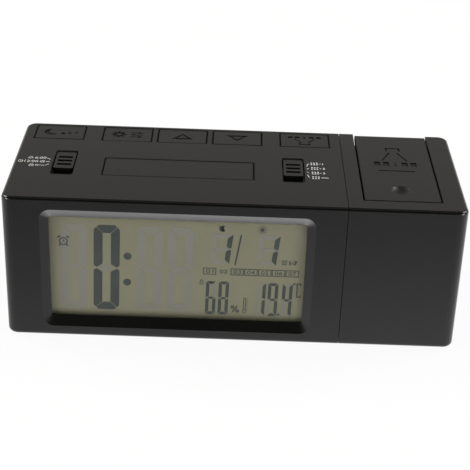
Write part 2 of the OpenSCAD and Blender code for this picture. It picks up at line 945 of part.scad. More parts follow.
// One push switch per key, and one near each end of the snooze bar
TACTS = concat([for (x = KEY_X) [x, key_y]], [for (s = [-1, 1]) [key_x0 + s * snooze_tact_x, snooze_y]]);
module tact_switches() {
    color("#c9c9c9")
        for (p = TACTS)
            translate([p.x, p.y, board_top_z]) {
                translate([-tact_size / 2, -tact_size / 2, 0])
                    cube([tact_size, tact_size, tact_h]);
                translate([0, 0, tact_h])
                    cylinder(r = tact_button_r, h = tact_button_h);
            }
}

// A cap in its hole, with the flange that keeps it in and the plungers below;
// the children are cut into its face, drawn round its middle
module cap(w, d, sink, plungers) {
    difference() {
        union() {
            plate(w, d, top_z - sink - flange_z, key_r, flange_z);
            plate(w + 2 * flange_reach, d + 2 * flange_reach, flange_t, key_r, flange_z);
            for (x = plungers)
                translate([x, 0, plunger_z])
                    cylinder(r = plunger_r, h = plunger_h + eps);
        }
        translate([0, 0, top_z - sink - symbol_depth])
            linear_extrude(symbol_depth + 1)
                children();
    }
}

// Nap symbol: a crescent and three dots that grow smaller
module nap_symbol() {
    translate([-0.65 * symbol_h, 0])
        difference() {
            circle(0.48 * symbol_h);
            translate([0.26 * symbol_h, 0.14 * symbol_h])
                circle(0.4 * symbol_h);
        }
    for (i = [0:2])
        translate([(0.2 + 0.45 * i) * symbol_h, (0.1 * i - 0.2) * symbol_h])
            circle((0.15 - 0.03 * i) * symbol_h);
}

// Setting symbol: a toothed wheel beside three sliding regulators
module setting_symbol() {
    translate([-0.62 * symbol_h, 0])
        difference() {
            union() {
                circle(0.36 * symbol_h);
                for (a = [0:45:135])
                    rotate(a)
                        square([symbol_h, 0.18 * symbol_h], center = true);
            }
            circle(0.17 * symbol_h);
        }
    for (i = [-1:1])
        translate([0.62 * symbol_h, 0.34 * i * symbol_h]) {
            square([0.9 * symbol_h, 0.6 * symbol_line], center = true);
            translate([(i == 0 ? -0.2 : 0.2) * symbol_h, 0])
                circle(0.7 * symbol_line);
        }
}

// Outline of a triangle that points up, h high
module arrow_form(h) {
    polygon([[-0.85 * h, -0.5 * h], [0.85 * h, -0.5 * h], [0, 0.5 * h]]);
}

// Arrow symbol: an open triangle
module arrow_symbol() {
    h = 0.9 * symbol_h;
    difference() {
        arrow_form(h);
        translate([0, -0.12 * symbol_line])
            arrow_form(h - 2.6 * symbol_line);
    }
}

// Projection symbol: a lamp hood, its spreading beam and a row of blocks
// where the time would stand
module beam_symbol(w, h) {
    line = 0.75 * symbol_line;
    // Hood, open towards the beam
    translate([0, -0.4 * h])
        difference() {
            square([0.34 * w, 0.16 * h], center = true);
            translate([0, 0.5 * line])
                square([0.34 * w - 2 * line, 0.16 * h - line + eps], center = true);
        }
    for (s = [-1, 1]) {
        polygon([
            [s * 0.07 * w, -0.24 * h], [s * (0.07 * w + line), -0.24 * h],
            [s * (0.26 * w + line), 0.16 * h], [s * 0.26 * w, 0.16 * h]
        ]);
        translate([0, (0.33 + 0.06 * s) * h])
            circle(0.6 * line);
        for (k = [0.21, 0.41])
            translate([s * k * w, 0.33 * h])
                square([0.14 * w, 0.2 * h], center = true);
    }
}

module nap_key() {
    color(cap_colour)
        translate([KEY_X[0], key_y, 0])
            cap(key_w, key_d, 0, [0])
                nap_symbol();
}

module set_key() {
    color(cap_colour)
        translate([KEY_X[1], key_y, 0])
            cap(key_w, key_d, key_sink, [0])
                setting_symbol();
}

module up_key() {
    color(cap_colour)
        translate([KEY_X[2], key_y, 0])
            cap(key_w, key_d, key_sink, [0])
                arrow_symbol();
}

module down_key() {
    color(cap_colour)
        translate([KEY_X[3], key_y, 0])
            cap(key_w, key_d, 0, [0])
                mirror([0, 1])
                    arrow_symbol();
}

module projection_key() {
    color(cap_colour)
        translate([KEY_X[4], key_y, 0])
            cap(key_w, key_d, 0, [0])
                beam_symbol(2.4 * symbol_h, 1.5 * symbol_h);
}

module snooze_bar() {
    // A small raised pip marks the left end for the finger
    color(cap_colour)
        translate([key_x0, snooze_y, 0]) {
            cap(snooze_w, snooze_d, key_sink, [-snooze_tact_x, snooze_tact_x]);
            translate([5 - snooze_w / 2, 5 - snooze_d / 2, top_z - key_sink - 0.55])
                sphere(r = 0.75);
        }
}

// ---------- slide switches ----------

// Switch can on the key board, with a slit for the stem
module switch_can(x, travel) {
    y0 = knob_y - travel - can_end;
    y1 = knob_y + can_end;
    color(steel_colour)
        difference() {
            block([x - can_w / 2, y0, board_top_z], [x + can_w / 2, y1, can_top_z]);
            block([x - can_w / 2 + can_wall, y0 + can_wall, board_top_z - 1],
                  [x + can_w / 2 - can_wall, y1 - can_wall, can_top_z - can_wall]);
            block([x - stem_w / 2 - 0.2, y0 + 1.1, board_top_z],
                  [x + stem_w / 2 + 0.2, y1 - 1.1, can_top_z + 1]);
        }
}

// Knob in its slot, the plate that closes the slot under it, and the stem
module slider(x, travel) {
    plate_y0 = slot_y - slot_len / 2 - 0.8;
    plate_y1 = slot_y + slot_len / 2 + travel + 0.8;
    color(cap_colour)
        difference() {
            union() {
                translate([x, knob_y, 0])
                    plate(knob_w, knob_len, top_z - 0.2 - slider_plate_z, slot_r - 0.2, slider_plate_z);
                translate([x, (plate_y0 + plate_y1) / 2, slider_plate_z])
                    plate(slider_plate_w, plate_y1 - plate_y0, slider_plate_t, 0.8);
                translate([x, knob_y, board_top_z + 0.8])
                    plate(stem_w, stem_w, slider_plate_z - board_top_z - 0.8 + eps, 0.3);
            }
            for (i = [-1:1])
                translate([x, knob_y - 0.4 + i * groove_pitch, top_z - 1.2])
                    linear_extrude(2)
                        round_rect(knob_w - 1.8, groove_w, 0.3);
        }
}

module left_switch() {
    switch_can(left_slot_x, left_travel);
}

module right_switch() {
    switch_can(right_slot_x, right_travel);
}

module left_slider() {
    slider(left_slot_x, left_travel);
}

module right_slider() {
    slider(right_slot_x, right_travel);
}

// ---------- projector flap and lamp ----------

// Finger scoop: a shallow dish
module scoop() {
    dish_r = (pow(scoop_w / 2, 2) + pow(scoop_depth, 2)) / (2 * scoop_depth);
    translate([flap_x, front_y + scoop_front + scoop_w / 2, top_z + dish_r - scoop_depth])
        sphere(r = dish_r);
}

module projector_flap() {
    x0 = flap_x - flap_w / 2;
    x1 = flap_x + flap_w / 2;
    back_r = 1.6;
    color(shell_colour)
        difference() {
            union() {
                // The panel, rounded over at its tail
                along_x(x0, x1)
                    difference() {
                        translate([flap_y0, flap_z])
                            square([flap_len, flap_t]);
                        translate([flap_y1 - back_r, top_z - back_r])
                            difference() {
                                square(back_r + eps);
                                circle(back_r);
                            }
                    }
                // Ears that the hinge pins run in
                for (x = [x0 + ear_slip, x1 - ear_slip - ear_t])
                    along_x(x, x + ear_t) {
                        translate([hinge_y, hinge_z])
                            circle(ear_r);
                        translate([hinge_y - ear_r, hinge_z])
                            square([2 * ear_r, flap_z - hinge_z + eps]);
                    }
                // Skirt under the rim, clear of the ears
                difference() {
                    block([x0 + 0.2, flap_y0 + 0.2, flap_z - skirt_h],
                          [x1 - 0.2, hinge_y - ear_r - 1, flap_z + eps]);
                    block([x0 + 0.2 + skirt_t, flap_y0 + 0.2 + skirt_t, flap_z - skirt_h - 1],
                          [x1 - 0.2 - skirt_t, hinge_y, flap_z]);
                }
            }
            bar_x(pin_r + run_gap, x0 - 1, x1 + 1, hinge_y, hinge_z);
            scoop();
            // Beam symbol pressed into the panel, over a base line
            translate([flap_x, flap_y1 - flap_len * 0.36, top_z - symbol_depth])
                linear_extrude(1) {
                    rotate(180)
                        beam_symbol(3 * symbol_h, 3.2 * symbol_h);
                    translate([0, -2.1 * symbol_h])
                        square([2.4 * symbol_h, 0.75 * symbol_line], center = true);
                }
        }
}

// Section of the lamp case: flat on top, round below
module case_section(inset) {
    w = case_w - 2 * inset;
    r = case_r - inset;
    z0 = flap_z - case_depth + inset;
    translate([flap_x, 0]) {
        translate([-w / 2, z0 + r])
            square([w, flap_z - z0 - r]);
        translate([-w / 2 + r, z0])
            square([w - 2 * r, r + 1]);
        for (s = [-1, 1])
            translate([s * (w / 2 - r), z0 + r])
                circle(r);
    }
}

module lamp_case() {
    color("#2a2a2a")
        difference() {
            along_y(case_y0, case_y1)
                case_section(0);
            difference() {
                along_y(case_y0 + case_wall, case_y1 - case_wall)
                    intersection() {
                        case_section(case_wall);
                        translate([flap_x - case_w, flap_z - case_depth])
                            square([2 * case_w, case_depth - case_wall]);
                    }
                // Saddles under the barrel and the light tube
                for (y = [barrel_y1 - 4, tube_y0 + 2, tube_y0 + tube_len - 4])
                    difference() {
                        block([flap_x - case_w / 2, y, flap_z - case_depth],
                              [flap_x + case_w / 2, y + 1.4, barrel_z - 2]);
                        bar_y(barrel_r, y - 1, y + 3, flap_x, barrel_z);
                    }
            }
            bar_y(barrel_r, case_y0 - 1, case_y0 + case_wall + 1, flap_x, barrel_z);
        }
}

module lens_barrel() {
    color("#1e1e1e")
        difference() {
            union() {
                bar_y(barrel_r, barrel_y0, barrel_y1, flap_x, barrel_z);
                bar_y(barrel_r + 0.7, barrel_y0, barrel_y0 + barrel_lip, flap_x, barrel_z);
            }
            bar_y(bore_r, barrel_y0 - 1, barrel_y1 + 1, flap_x, barrel_z);
        }
}

module focus_ring() {
    y0 = barrel_y0 + barrel_lip + 0.2;
    grips = 24;
    color("#262626")
        difference() {
            bar_y(ring_r, y0, y0 + ring_len, flap_x, barrel_z);
            bar_y(barrel_r + run_gap, y0 - 1, y0 + ring_len + 1, flap_x, barrel_z);
            for (i = [0:grips - 1])
                translate([flap_x, 0, barrel_z])
                    rotate([0, i * 360 / grips, 0])
                        bar_y(0.5, y0 - 1, y0 + ring_len + 1, ring_r + 0.15, 0);
        }
}

// A lens turned about the barrel's axis: a short rim with a curved face at
// each side
module lens(y, r, rim, bulge_front, bulge_back) {
    translate([flap_x, y, barrel_z])
        rotate([-90, 0, 0])
            rotate_extrude($fn = 128) {
                translate([0, -rim / 2])
                    square([r, rim]);
                translate([0, rim / 2])
                    cap_section(r, bulge_back);
                mirror([0, 1])
                    translate([0, rim / 2])
                        cap_section(r, bulge_front);
            }
}

module projection_lens() {
    color("#cfe3ee", 0.5)
        lens(barrel_y0 + 3.2, bore_r, 1.2, 1.5, 1.5);
}

module condenser_lens() {
    color("#cfe3ee", 0.5)
        lens(tube_y0 + 2.6, bore_r, 1, 1.2, 1.6);
}

module image_slide() {
    // Small display cell that the lamp shines through
    half = barrel_r * 0.72;
    color("#5f6f78", 0.8)
        block([flap_x - half, barrel_y1, barrel_z - half], [flap_x + half, tube_y0, barrel_z + half]);
}

module light_tube() {
    color(white_colour)
        difference() {
            bar_y(barrel_r, tube_y0, led_board_y, flap_x, barrel_z);
            bar_y(bore_r, tube_y0 - 1, led_board_y + 1, flap_x, barrel_z);
        }
}

module led_board() {
    half = case_w / 2 - case_wall - 2.4;
    color(board_colour)
        block([flap_x - half, led_board_y, barrel_z - 6], [flap_x + half, led_board_y + 1.2, barrel_z + 6]);
}

module projector_led() {
    led_r = 2.5;
    color("#f2f6f8")
        union() {
            bar_y(led_r, led_board_y - 4, led_board_y, flap_x, barrel_z);
            bar_y(led_r + 0.5, led_board_y - 1, led_board_y, flap_x, barrel_z);
            translate([flap_x, led_board_y - 4, barrel_z])
                sphere(r = led_r);
        }
}

// Steel pins, held in the bay walls and running in the flap's ears
module hinge_pins() {
    out = bay_wall + pin_boss_len;
    color(steel_colour) {
        bar_x(pin_r, bay_x0 - out, bay_x0 + flap_gap + ear_slip + ear_t, hinge_y, hinge_z);
        bar_x(pin_r, bay_x1 - flap_gap - ear_slip - ear_t, bay_x1 + out, hinge_y, hinge_z);
    }
}

// Washers that brake the hinge, between the bay walls and the ears
module hinge_washers() {
    t = flap_gap + ear_slip - 0.1;
    color(white_colour)
        for (x = [bay_x0, bay_x1 - t])
            difference() {
                bar_x(ear_r, x, x + t, hinge_y, hinge_z);
                bar_x(pin_r, x - 1, x + t + 1, hinge_y, hinge_z);
            }
}

// ---------- small parts inside ----------

module buzzer() {
    color("#b08d3f") {
        bar_y(buzzer_r, cover_y - 0.6, cover_y, buzzer_x, buzzer_z);
        bar_y(buzzer_r * 0.7, cover_y - 0.9, cover_y - 0.6, buzzer_x, buzzer_z);
    }
}

module climate_sensor() {
    // Temperature and humidity sensor on its own small board
    color("#e9e9e9") {
        block([sensor_x - 5, cover_y - 5, sensor_z - 7], [sensor_x + 5, cover_y - 3.8, sensor_z + 7]);
        block([sensor_x - 1.6, cover_y - 3.8, sensor_z - 1.6],
              [sensor_x + 1.6, cover_y - 2.8, sensor_z + 1.6]);
        for (s = [-1, 1])
            bar_y(1.2, cover_y - 3.8, cover_y, sensor_x + s * 3.4, sensor_z + s * 5.4);
    }
}

module power_socket() {
    color(steel_colour)
        difference() {
            block([socket_x - socket_w / 2, cover_y - 5, socket_z - socket_h / 2],
                  [socket_x + socket_w / 2, back_y - 0.2, socket_z + socket_h / 2]);
            block([socket_x - socket_w / 2 + 0.4, cover_y - 4, socket_z - socket_h / 2 + 0.4],
                  [socket_x + socket_w / 2 - 0.4, back_y + 1, socket_z + socket_h / 2 - 0.4]);
        }
    color("#1a1a1a")
        block([socket_x - 2.2, cover_y - 4 - eps, socket_z - 0.3],
              [socket_x + 2.2, back_y - 0.9, socket_z + 0.3]);
}

// Centre height of a cell, and which way its button points
function cell_z(i) = box_z + 0.3 + (i + 0.5) * cell_pitch;
function cell_way(i) = i % 2 == 0 ? 1 : -1;
cell_y = box_y + fit + cell_d / 2;
cell_shift = (spring_len - cell_button) / 2;

module battery_cells() {
    color("#b5b9bd")
        for (i = [0:2])
            translate([door_x + cell_way(i) * cell_shift, cell_y, cell_z(i)])
                rotate([0, cell_way(i) * 90, 0]) {
                    translate([0, 0, -cell_len / 2])
                        cylinder(r = cell_d / 2, h = cell_len);
                    translate([0, 0, cell_len / 2])
                        cylinder(r = 1.9, h = cell_button);
                }
}

// A conical wire spring standing on z = 0, as one swept ring of points after
// another along its spiral
spring_wire_r = 0.28;
spring_turns = 3;
spring_steps = 16;
spring_sides = 8;
module cone_spring(r0, r1, h) {
    n = spring_turns * spring_steps;
    rise = h - 2 * spring_wire_r;
    points = [
        for (k = [0:n], j = [0:spring_sides - 1])
            let (a = k * 360 / spring_steps, b = j * 360 / spring_sides,
                 r = r0 + (r1 - r0) * k / n + spring_wire_r * cos(b))
                [r * cos(a), r * sin(a), spring_wire_r + rise * k / n + spring_wire_r * sin(b)]
    ];
    faces = concat(
        [[for (j = [0:spring_sides - 1]) j]],
        [for (k = [0:n - 1], j = [0:spring_sides - 1])
            let (a = k * spring_sides, jn = (j + 1) % spring_sides)
                [a + j, a + spring_sides + j, a + spring_sides + jn, a + jn]],
        [[for (j = [spring_sides - 1:-1:0]) n * spring_sides + j]]
    );
    polyhedron(points, faces);
}

module battery_springs() {
    color(steel_colour)
        for (i = [0:2])
            translate([door_x - cell_way(i) * (box_w / 2 - contact_t), cell_y, cell_z(i)])
                rotate([0, cell_way(i) * 90, 0])
                    cone_spring(3.6, 1.4, spring_len);
}

module battery_contacts() {
    color(steel_colour)
        for (i = [0:2], s = [-1, 1]) {
            face = s * (box_w / 2);
            block([door_x + min(face, face - s * contact_t), cell_y - 4, cell_z(i) - 4],
                  [door_x + max(face, face - s * contact_t), cell_y + 4, cell_z(i) + 4]);
        }
}

front_housing();
projector_housing();
rear_cover();
battery_door();
rubber_feet();
cover_screws();
module_screws();
display_cover();
lcd_panel();
backlight();
lcd_frame();
contact_strip();
main_board();
controller_chip();
board_screws();
ribbon_cable();
key_board();
key_board_screws();
tact_switches();
nap_key();
set_key();
up_key();
down_key();
projection_key();
snooze_bar();
left_switch();
right_switch();
left_slider();
right_slider();
projector_flap();
lamp_case();
lens_barrel();
focus_ring();
projection_lens();
image_slide();
condenser_lens();
light_tube();
led_board();
projector_led();
hinge_pins();
hinge_washers();
buzzer();
climate_sensor();
power_socket();
battery_cells();
battery_springs();
battery_contacts();
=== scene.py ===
# %% [markdown]
# # A projection alarm clock
# The clock is a low black box. A display sits in a bevelled window, keys and two
# slide switches are on top, and a flap at the right end hides a small projector.
# The CAD parts arrive finished in shape. This lesson gives them their plastics,
# metals and glass, and adds what is printed, wound, soldered or shown on them.

# %% Load the clock and keep its size
import math

import bmesh
import bpy
from mathutils import Matrix, Vector


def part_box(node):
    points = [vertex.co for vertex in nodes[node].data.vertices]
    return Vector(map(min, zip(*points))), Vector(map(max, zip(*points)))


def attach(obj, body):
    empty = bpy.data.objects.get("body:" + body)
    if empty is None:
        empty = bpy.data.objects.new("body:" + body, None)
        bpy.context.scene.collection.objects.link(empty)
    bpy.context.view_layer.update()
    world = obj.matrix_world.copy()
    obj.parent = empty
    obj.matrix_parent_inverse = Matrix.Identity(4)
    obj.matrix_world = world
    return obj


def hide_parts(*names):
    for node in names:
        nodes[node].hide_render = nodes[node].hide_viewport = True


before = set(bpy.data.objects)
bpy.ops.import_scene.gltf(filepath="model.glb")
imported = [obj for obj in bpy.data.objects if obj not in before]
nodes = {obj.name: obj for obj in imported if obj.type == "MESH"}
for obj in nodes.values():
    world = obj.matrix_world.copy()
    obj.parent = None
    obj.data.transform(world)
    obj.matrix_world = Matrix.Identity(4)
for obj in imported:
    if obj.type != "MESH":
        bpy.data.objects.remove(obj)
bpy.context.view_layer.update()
MM = 0.001
print("CAD parts:", len(nodes))

# %% [markdown]
# ## The camera
# The box is seen from in front and well above, through a long lens, with the
# camera rolled a little. A camera that looks along +Y is turned left or right by
# its azimuth, tipped down by its elevation and then rolled about its own axis.

# %% Camera
CAMERA_PLACE = Vector((-0.9, -425.9, 256.9)) * MM
AZIMUTH, ELEVATION, ROLL = math.radians(0.21), math.radians(28.355), math.radians(2.09)
SENSOR, FOCAL, SHIFT_X, NEAREST = 36.0, 99.84, -0.0014, 0.01


def turn(angle, axis):
    return Matrix.Rotation(angle, 4, axis)


camera = bpy.data.objects.new("camera", bpy.data.cameras.new("camera"))
camera.data.sensor_width = SENSOR
camera.data.lens = FOCAL
camera.data.shift_x = SHIFT_X
camera.data.clip_start = NEAREST
look = turn(-AZIMUTH, "Z") @ turn(math.pi / 2 - ELEVATION, "X") @ turn(ROLL, "Z")
camera.matrix_world = Matrix.Translation(CAMERA_PLACE) @ look
bpy.context.scene.collection.objects.link(camera)
bpy.context.scene.camera = camera
bpy.context.scene.view_settings.view_transform = "Standard"
print("camera at", [round(v, 3) for v in camera.location])

# %% [markdown]
# ## Small helpers for shaders
# Every finish below is a short chain of nodes. One function adds any node, with
# its own settings and its inputs, and hands back one of its outputs, so that
# chains can be written from the inside out. Colours are written as the hex values
# that a paint chart would give, and one function turns them into the linear light
# that Blender reckons in. The other functions each do one job for a finish.


# %% Nodes and colours
def linear(hex_colour):
    """The linear RGBA of an sRGB hex colour."""
    channels = [int(hex_colour[i : i + 2], 16) / 255 for i in (1, 3, 5)]
    curve = [c / 12.92 if c <= 0.04045 else ((c + 0.055) / 1.055) ** 2.4 for c in channels]
    return (*curve, 1.0)


def add(tree, kind, inputs=(), output=0, **settings):
    """Adds a node to a shader or geometry tree and returns one of its outputs.

    Inputs come in order or by key. Each is a value, a hex colour or an output.
    """
    node = tree.nodes.new(tree.bl_idname.removesuffix("Tree") + kind)
    for name, value in settings.items():
        setattr(node, name, value)
    for key, value in inputs.items() if isinstance(inputs, dict) else enumerate(inputs):
        if isinstance(value, bpy.types.NodeSocket):
            tree.links.new(value, node.inputs[key])
        else:
            node.inputs[key].default_value = linear(value) if isinstance(value, str) else value
    return node.outputs[output]


def feed(node, socket, output):
    """Links an output to one of a node's sockets."""
    node.id_data.links.new(output, node.inputs[socket])


def fed(node, socket):
    """The output that one of a node's sockets is linked to at present."""
    return node.inputs[socket].links[0].from_socket


def new_material(name, **sockets):
    """A material with one Principled shader, whose own sockets get these values."""
    material = bpy.data.materials.new(name)
    material.use_nodes = True
    shader = material.node_tree.nodes["Principled BSDF"]
    for socket, value in sockets.items():
        value = linear(value) if isinstance(value, str) else value
        shader.inputs[socket.replace("_", " ")].default_value = value
    return material, material.node_tree, shader


# %% Patterns and places on a part
def along(tree, axis):
    """How far along X, Y or Z a point of the part lies, in metres."""
    return add(tree, "SeparateXYZ", [add(tree, "TexCoord", output="Object")], axis)


def wander(tree, size_mm, detail=2.0, seed=0.0, stretch=(1, 1, 1)):
    """A factor from 0 to 1 that wanders over lumps about size_mm across.

    The lumps are long along the axes that have small values in stretch.
    """
    spot = add(tree, "TexCoord", output="Object")
    spot = add(tree, "VectorMath", (spot, stretch), operation="MULTIPLY")
    inputs = {"Vector": spot, "W": seed, "Scale": 1 / (size_mm * MM), "Detail": detail}
    return add(tree, "TexNoise", inputs, "Fac", noise_dimensions="4D")


def largest(tree, vector):
    """The largest of a vector's three parts."""
    x, y, z = add(tree, "SeparateXYZ", [vector]).node.outputs
    larger = add(tree, "Math", (x, y), operation="MAXIMUM")
    return add(tree, "Math", (larger, z), operation="MAXIMUM")


def inside_box(tree, low, high):
    """1 inside the box between two corners, 0 outside. The corners are in metres."""
    middle, half = (Vector(low) + Vector(high)) / 2, (Vector(high) - Vector(low)) / 2
    spot = add(tree, "TexCoord", output="Object")
    offset = add(tree, "VectorMath", (spot, middle), operation="SUBTRACT")
    folded = add(tree, "VectorMath", [offset], operation="ABSOLUTE")
    beyond = add(tree, "VectorMath", (folded, half), operation="SUBTRACT")
    return add(tree, "Math", (largest(tree, beyond), 0.0), operation="LESS_THAN")


# %% What a pattern does to a finish
def grade(shader, socket, factor, low, high):
    """Runs a value or a colour of the shader from low to high with a factor from 0 to 1."""
    tree = shader.id_data
    if shader.inputs[socket].type == "RGBA":
        mixed = add(tree, "Mix", {0: factor, 6: low, 7: high}, 2, data_type="RGBA")
    else:
        mixed = add(tree, "Mix", {0: factor, 2: low, 3: high})
    feed(shader, socket, mixed)


def worn(shader, roughness, marks):
    """A roughness that each pattern shifts up and down, by its share from end to end."""
    total = roughness - sum(share for _, share in marks) / 2
    for pattern, share in marks:
        total = add(shader.id_data, "Math", (pattern, share, total), operation="MULTIPLY_ADD")
    feed(shader, "Roughness", total)


def relief(shader, height, depth_mm, strength=1.0):
    """Lets a height from 0 to 1 stand out of the surface by depth_mm."""
    inputs = {"Height": height, "Distance": depth_mm * MM, "Strength": strength}
    feed(shader, "Normal", add(shader.id_data, "Bump", inputs, "Normal"))


def mottled(name, size_mm, shade, tint, detail=2.0, **sockets):
    """A material whose colour wanders from shade to tint, and the pattern that it follows."""
    material, tree, shader = new_material(name, **sockets)
    pattern = wander(tree, size_mm, detail)
    grade(shader, "Base Color", pattern, shade, tint)
    return material, tree, shader, pattern


dressed = set()


def dress(material, *names):
    """Gives CAD parts a material, in their own slots."""
    for name in names:
        slots = nodes[name].data.materials
        if len(slots) == 0:
            slots.append(material)
        for i in range(len(slots)):
            slots[i] = material
        dressed.add(name)


# %% [markdown]
# ## Floor, air and lamps
# Black plastic has almost no colour of its own, so what it mirrors makes its
# form. The floor is white paper, and a mirror sees it as a glow: bright close to
# the clock, dim a hand's width in front of it and bright again far off. The air
# is bright at the horizon and falls off to a dark ceiling, so that the rounded
# front edge reads as a black line, with a little light right overhead. Two soft
# boxes stand low in front, and two stand higher at the sides. A lamp's share is
# the part of full white that it gives to a surface that faces it.

# %% Floor
FLOOR_HALF = 3.0
SEEN_WHITE = 0.93
# Places in metres along Y, and the glow that a mirror sees from there
DIM_PLACE, DIM_GLOW, CLOSE_PLACE, CLOSE_GLOW = -0.17, 0.36, -0.035, 1.05
FAR_START, FAR_END, FAR_GLOW = -0.3, -0.8, 1.7
SIDE, LEFT_GLOW, RIGHT_GLOW = 0.1, 0.86, 1.12

floor_mesh = bpy.data.meshes.new("floor")
square = [(x * FLOOR_HALF, y * FLOOR_HALF, 0) for x, y in ((-1, -1), (1, -1), (1, 1), (-1, 1))]
floor_mesh.from_pydata(square, [], [(0, 1, 2, 3)])
floor = bpy.data.objects.new("floor", floor_mesh)
bpy.context.scene.collection.objects.link(floor)
floor_paper, tree, shader = new_material("paper_sweep", Base_Color="#f6f6f4", Roughness=0.9)
ahead = add(tree, "MapRange", (along(tree, "Y"), DIM_PLACE, CLOSE_PLACE, DIM_GLOW, CLOSE_GLOW))
far = add(tree, "MapRange", (along(tree, "Y"), FAR_START, FAR_END, 0.0, FAR_GLOW))
ahead = add(tree, "Math", (ahead, far), operation="MAXIMUM")
aside = add(tree, "MapRange", (along(tree, "X"), -SIDE, SIDE, LEFT_GLOW, RIGHT_GLOW))
table = add(tree, "Math", (ahead, aside), operation="MULTIPLY")
rays = add(tree, "LightPath").node.outputs
mirrored = add(tree, "Math", (rays["Is Glossy Ray"], rays["Is Transmission Ray"]), operation="MAXIMUM")
seen = add(tree, "Math", (rays["Is Camera Ray"], SEEN_WHITE), operation="MULTIPLY")
strength = add(tree, "Mix", {0: mirrored, 2: 1.0, 3: table})
glow = add(tree, "Emission", {"Color": "#ffffff", "Strength": strength})
share = add(tree, "Math", (seen, mirrored), operation="MAXIMUM")
mixed = add(tree, "MixShader", (share, shader.outputs["BSDF"], glow))
feed(tree.nodes["Material Output"], "Surface", mixed)
floor_mesh.materials.append(floor_paper)
print("floor", 2 * FLOOR_HALF, "m wide")

# %% Air
HORIZON, BACK_AIR, FRONT_AIR, CEILING, OVERHEAD = 1.1, 0.4, 0.5, 0.0, 0.35
# The elevations, in degrees, at which each part of the air ends or starts
BACK_END, FRONT_END, CEILING_START, CEILING_FULL, OVERHEAD_START = 16, 32, 42, 60, 66
BEHIND_FROM, BEHIND_TO = -0.15, 0.45


def rise(degrees):
    """The height of a direction at this elevation."""
    return math.sin(math.radians(degrees))


world = bpy.data.worlds.new("studio")
bpy.context.scene.world = world
world.use_nodes = True
tree = world.node_tree
tree.nodes.clear()
ways = add(tree, "SeparateXYZ", [add(tree, "TexCoord", output="Generated")]).node.outputs
behind = add(tree, "MapRange", (ways["Z"], 0, rise(BACK_END), HORIZON, BACK_AIR))
before = add(tree, "MapRange", (ways["Z"], 0, rise(FRONT_END), FRONT_AIR, CEILING))
backward = add(tree, "MapRange", (ways["Y"], BEHIND_FROM, BEHIND_TO, 0, 1))
low_air = add(tree, "Mix", {0: backward, 2: before, 3: behind})
upward = add(tree, "MapRange", (ways["Z"], rise(CEILING_START), rise(CEILING_FULL), 0, 1))
ceiling = add(tree, "MapRange", (ways["Z"], rise(OVERHEAD_START), 1, CEILING, OVERHEAD))
air = add(tree, "Mix", {0: upward, 2: low_air, 3: ceiling})
lighting = add(tree, "Background", {"Color": "#fffbf4", "Strength": air})
backdrop = add(tree, "Background", {"Color": "#ffffff", "Strength": 1.0})
camera_ray = add(tree, "LightPath", output="Is Camera Ray")
sky = add(tree, "MixShader", (camera_ray, lighting, backdrop))
feed(tree.nodes.new("ShaderNodeOutputWorld"), "Surface", sky)
print("air from", HORIZON, "at the horizon to", CEILING, "at the ceiling")

# %% Lamps
# Each has an azimuth (0 in front, 90 at the right), elevation, distance, width and share
LAMP_HEIGHT = 0.6
for name, azimuth, elevation, distance, width, share in (
    ("lamp_left", -60, 15, 1.3, 0.5, 0.6),
    ("lamp_right", 57, 15, 1.3, 0.5, 0.55),
    ("lamp_side_left", -108, 42, 1.4, 0.6, 0.55),
    ("lamp_side_right", 108, 42, 1.4, 0.6, 0.5),
):
    a, e = math.radians(azimuth), math.radians(elevation)
    away = Vector((math.sin(a) * math.cos(e), -math.cos(a) * math.cos(e), math.sin(e)))
    data = bpy.data.lights.new(name, "AREA")
    data.shape = "RECTANGLE"
    data.size, data.size_y = width, LAMP_HEIGHT
    data.energy = math.pi**2 * share * distance**2
    lamp = bpy.data.objects.new(name, data)
    bpy.context.scene.collection.objects.link(lamp)
    facing = away.to_track_quat("Z", "Y").to_matrix().to_4x4()
    lamp.matrix_world = Matrix.Translation(away * distance) @ facing
print("lamps:", len(bpy.data.lights))

# %% [markdown]
# ## Black mouldings
# The shells, keys and flap are injection-moulded ABS, black right through. The
# mould is spark-eroded, which leaves a fine satin grain, and the plastic flows
# into it a little unevenly, which shows as faint cloudiness in the gloss. Grain
# of 0.1 mm would be lost in a picture, so it is drawn at 0.3 mm. The bevel round
# the display and the rounded edges are left polished, so they mirror the table
# while the faces next to them only glow. Rims of keys and flap, and the insides
# of the shells, keep the coarse finish of the cut mould, so gaps stay dark.

# %% ABS mouldings
COARSE, EDGE_POLISH, BEVEL_POLISH, PRESSED_GRAIN, SYMBOL_GRAIN = 0.92, 0.22, 0.2, 0.44, 0.62
LIP_MM, GAP_MM, FLANGE_MM, PRESSED_MM = 0.25, 0.4, 0.8, 0.04
# A flat face's normal has one part above this
FLAT = 0.985
KEYS = ("nap_key", "set_key", "up_key", "down_key", "projection_key")


def moulded_abs(name, tint="#0b0b0a", roughness=0.36, grain_mm=0.3, depth_mm=0.004):
    """Black ABS with a spark-eroded grain."""
    material, tree, shader, cloud = mottled(name, 18, "#080808", tint, 3, IOR=1.46)
    grain = wander(tree, grain_mm, seed=3.0)
    worn(shader, roughness, ((cloud, 0.06), (grain, 0.06)))
    relief(shader, grain, depth_mm)
    return material, tree, shader


def roughen(shader, mask, roughness):
    """Gives the surface another roughness where the mask is 1."""
    grade(shader, "Roughness", mask, fed(shader, "Roughness"), roughness)


def below(tree, level, fade_mm=0.08):
    """1 below a height in metres, 0 above it."""
    return add(tree, "MapRange", (along(tree, "Z"), level - fade_mm * MM, level, 1, 0))


def within(tree, name, side_mm, front_mm, top_mm):
    """1 on the inner walls of a hollow part, whose walls have these thicknesses."""
    low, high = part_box(name)
    low = low + Vector((side_mm, front_mm, 0)) * MM
    return inside_box(tree, low, high - Vector((side_mm, side_mm, top_mm)) * MM)


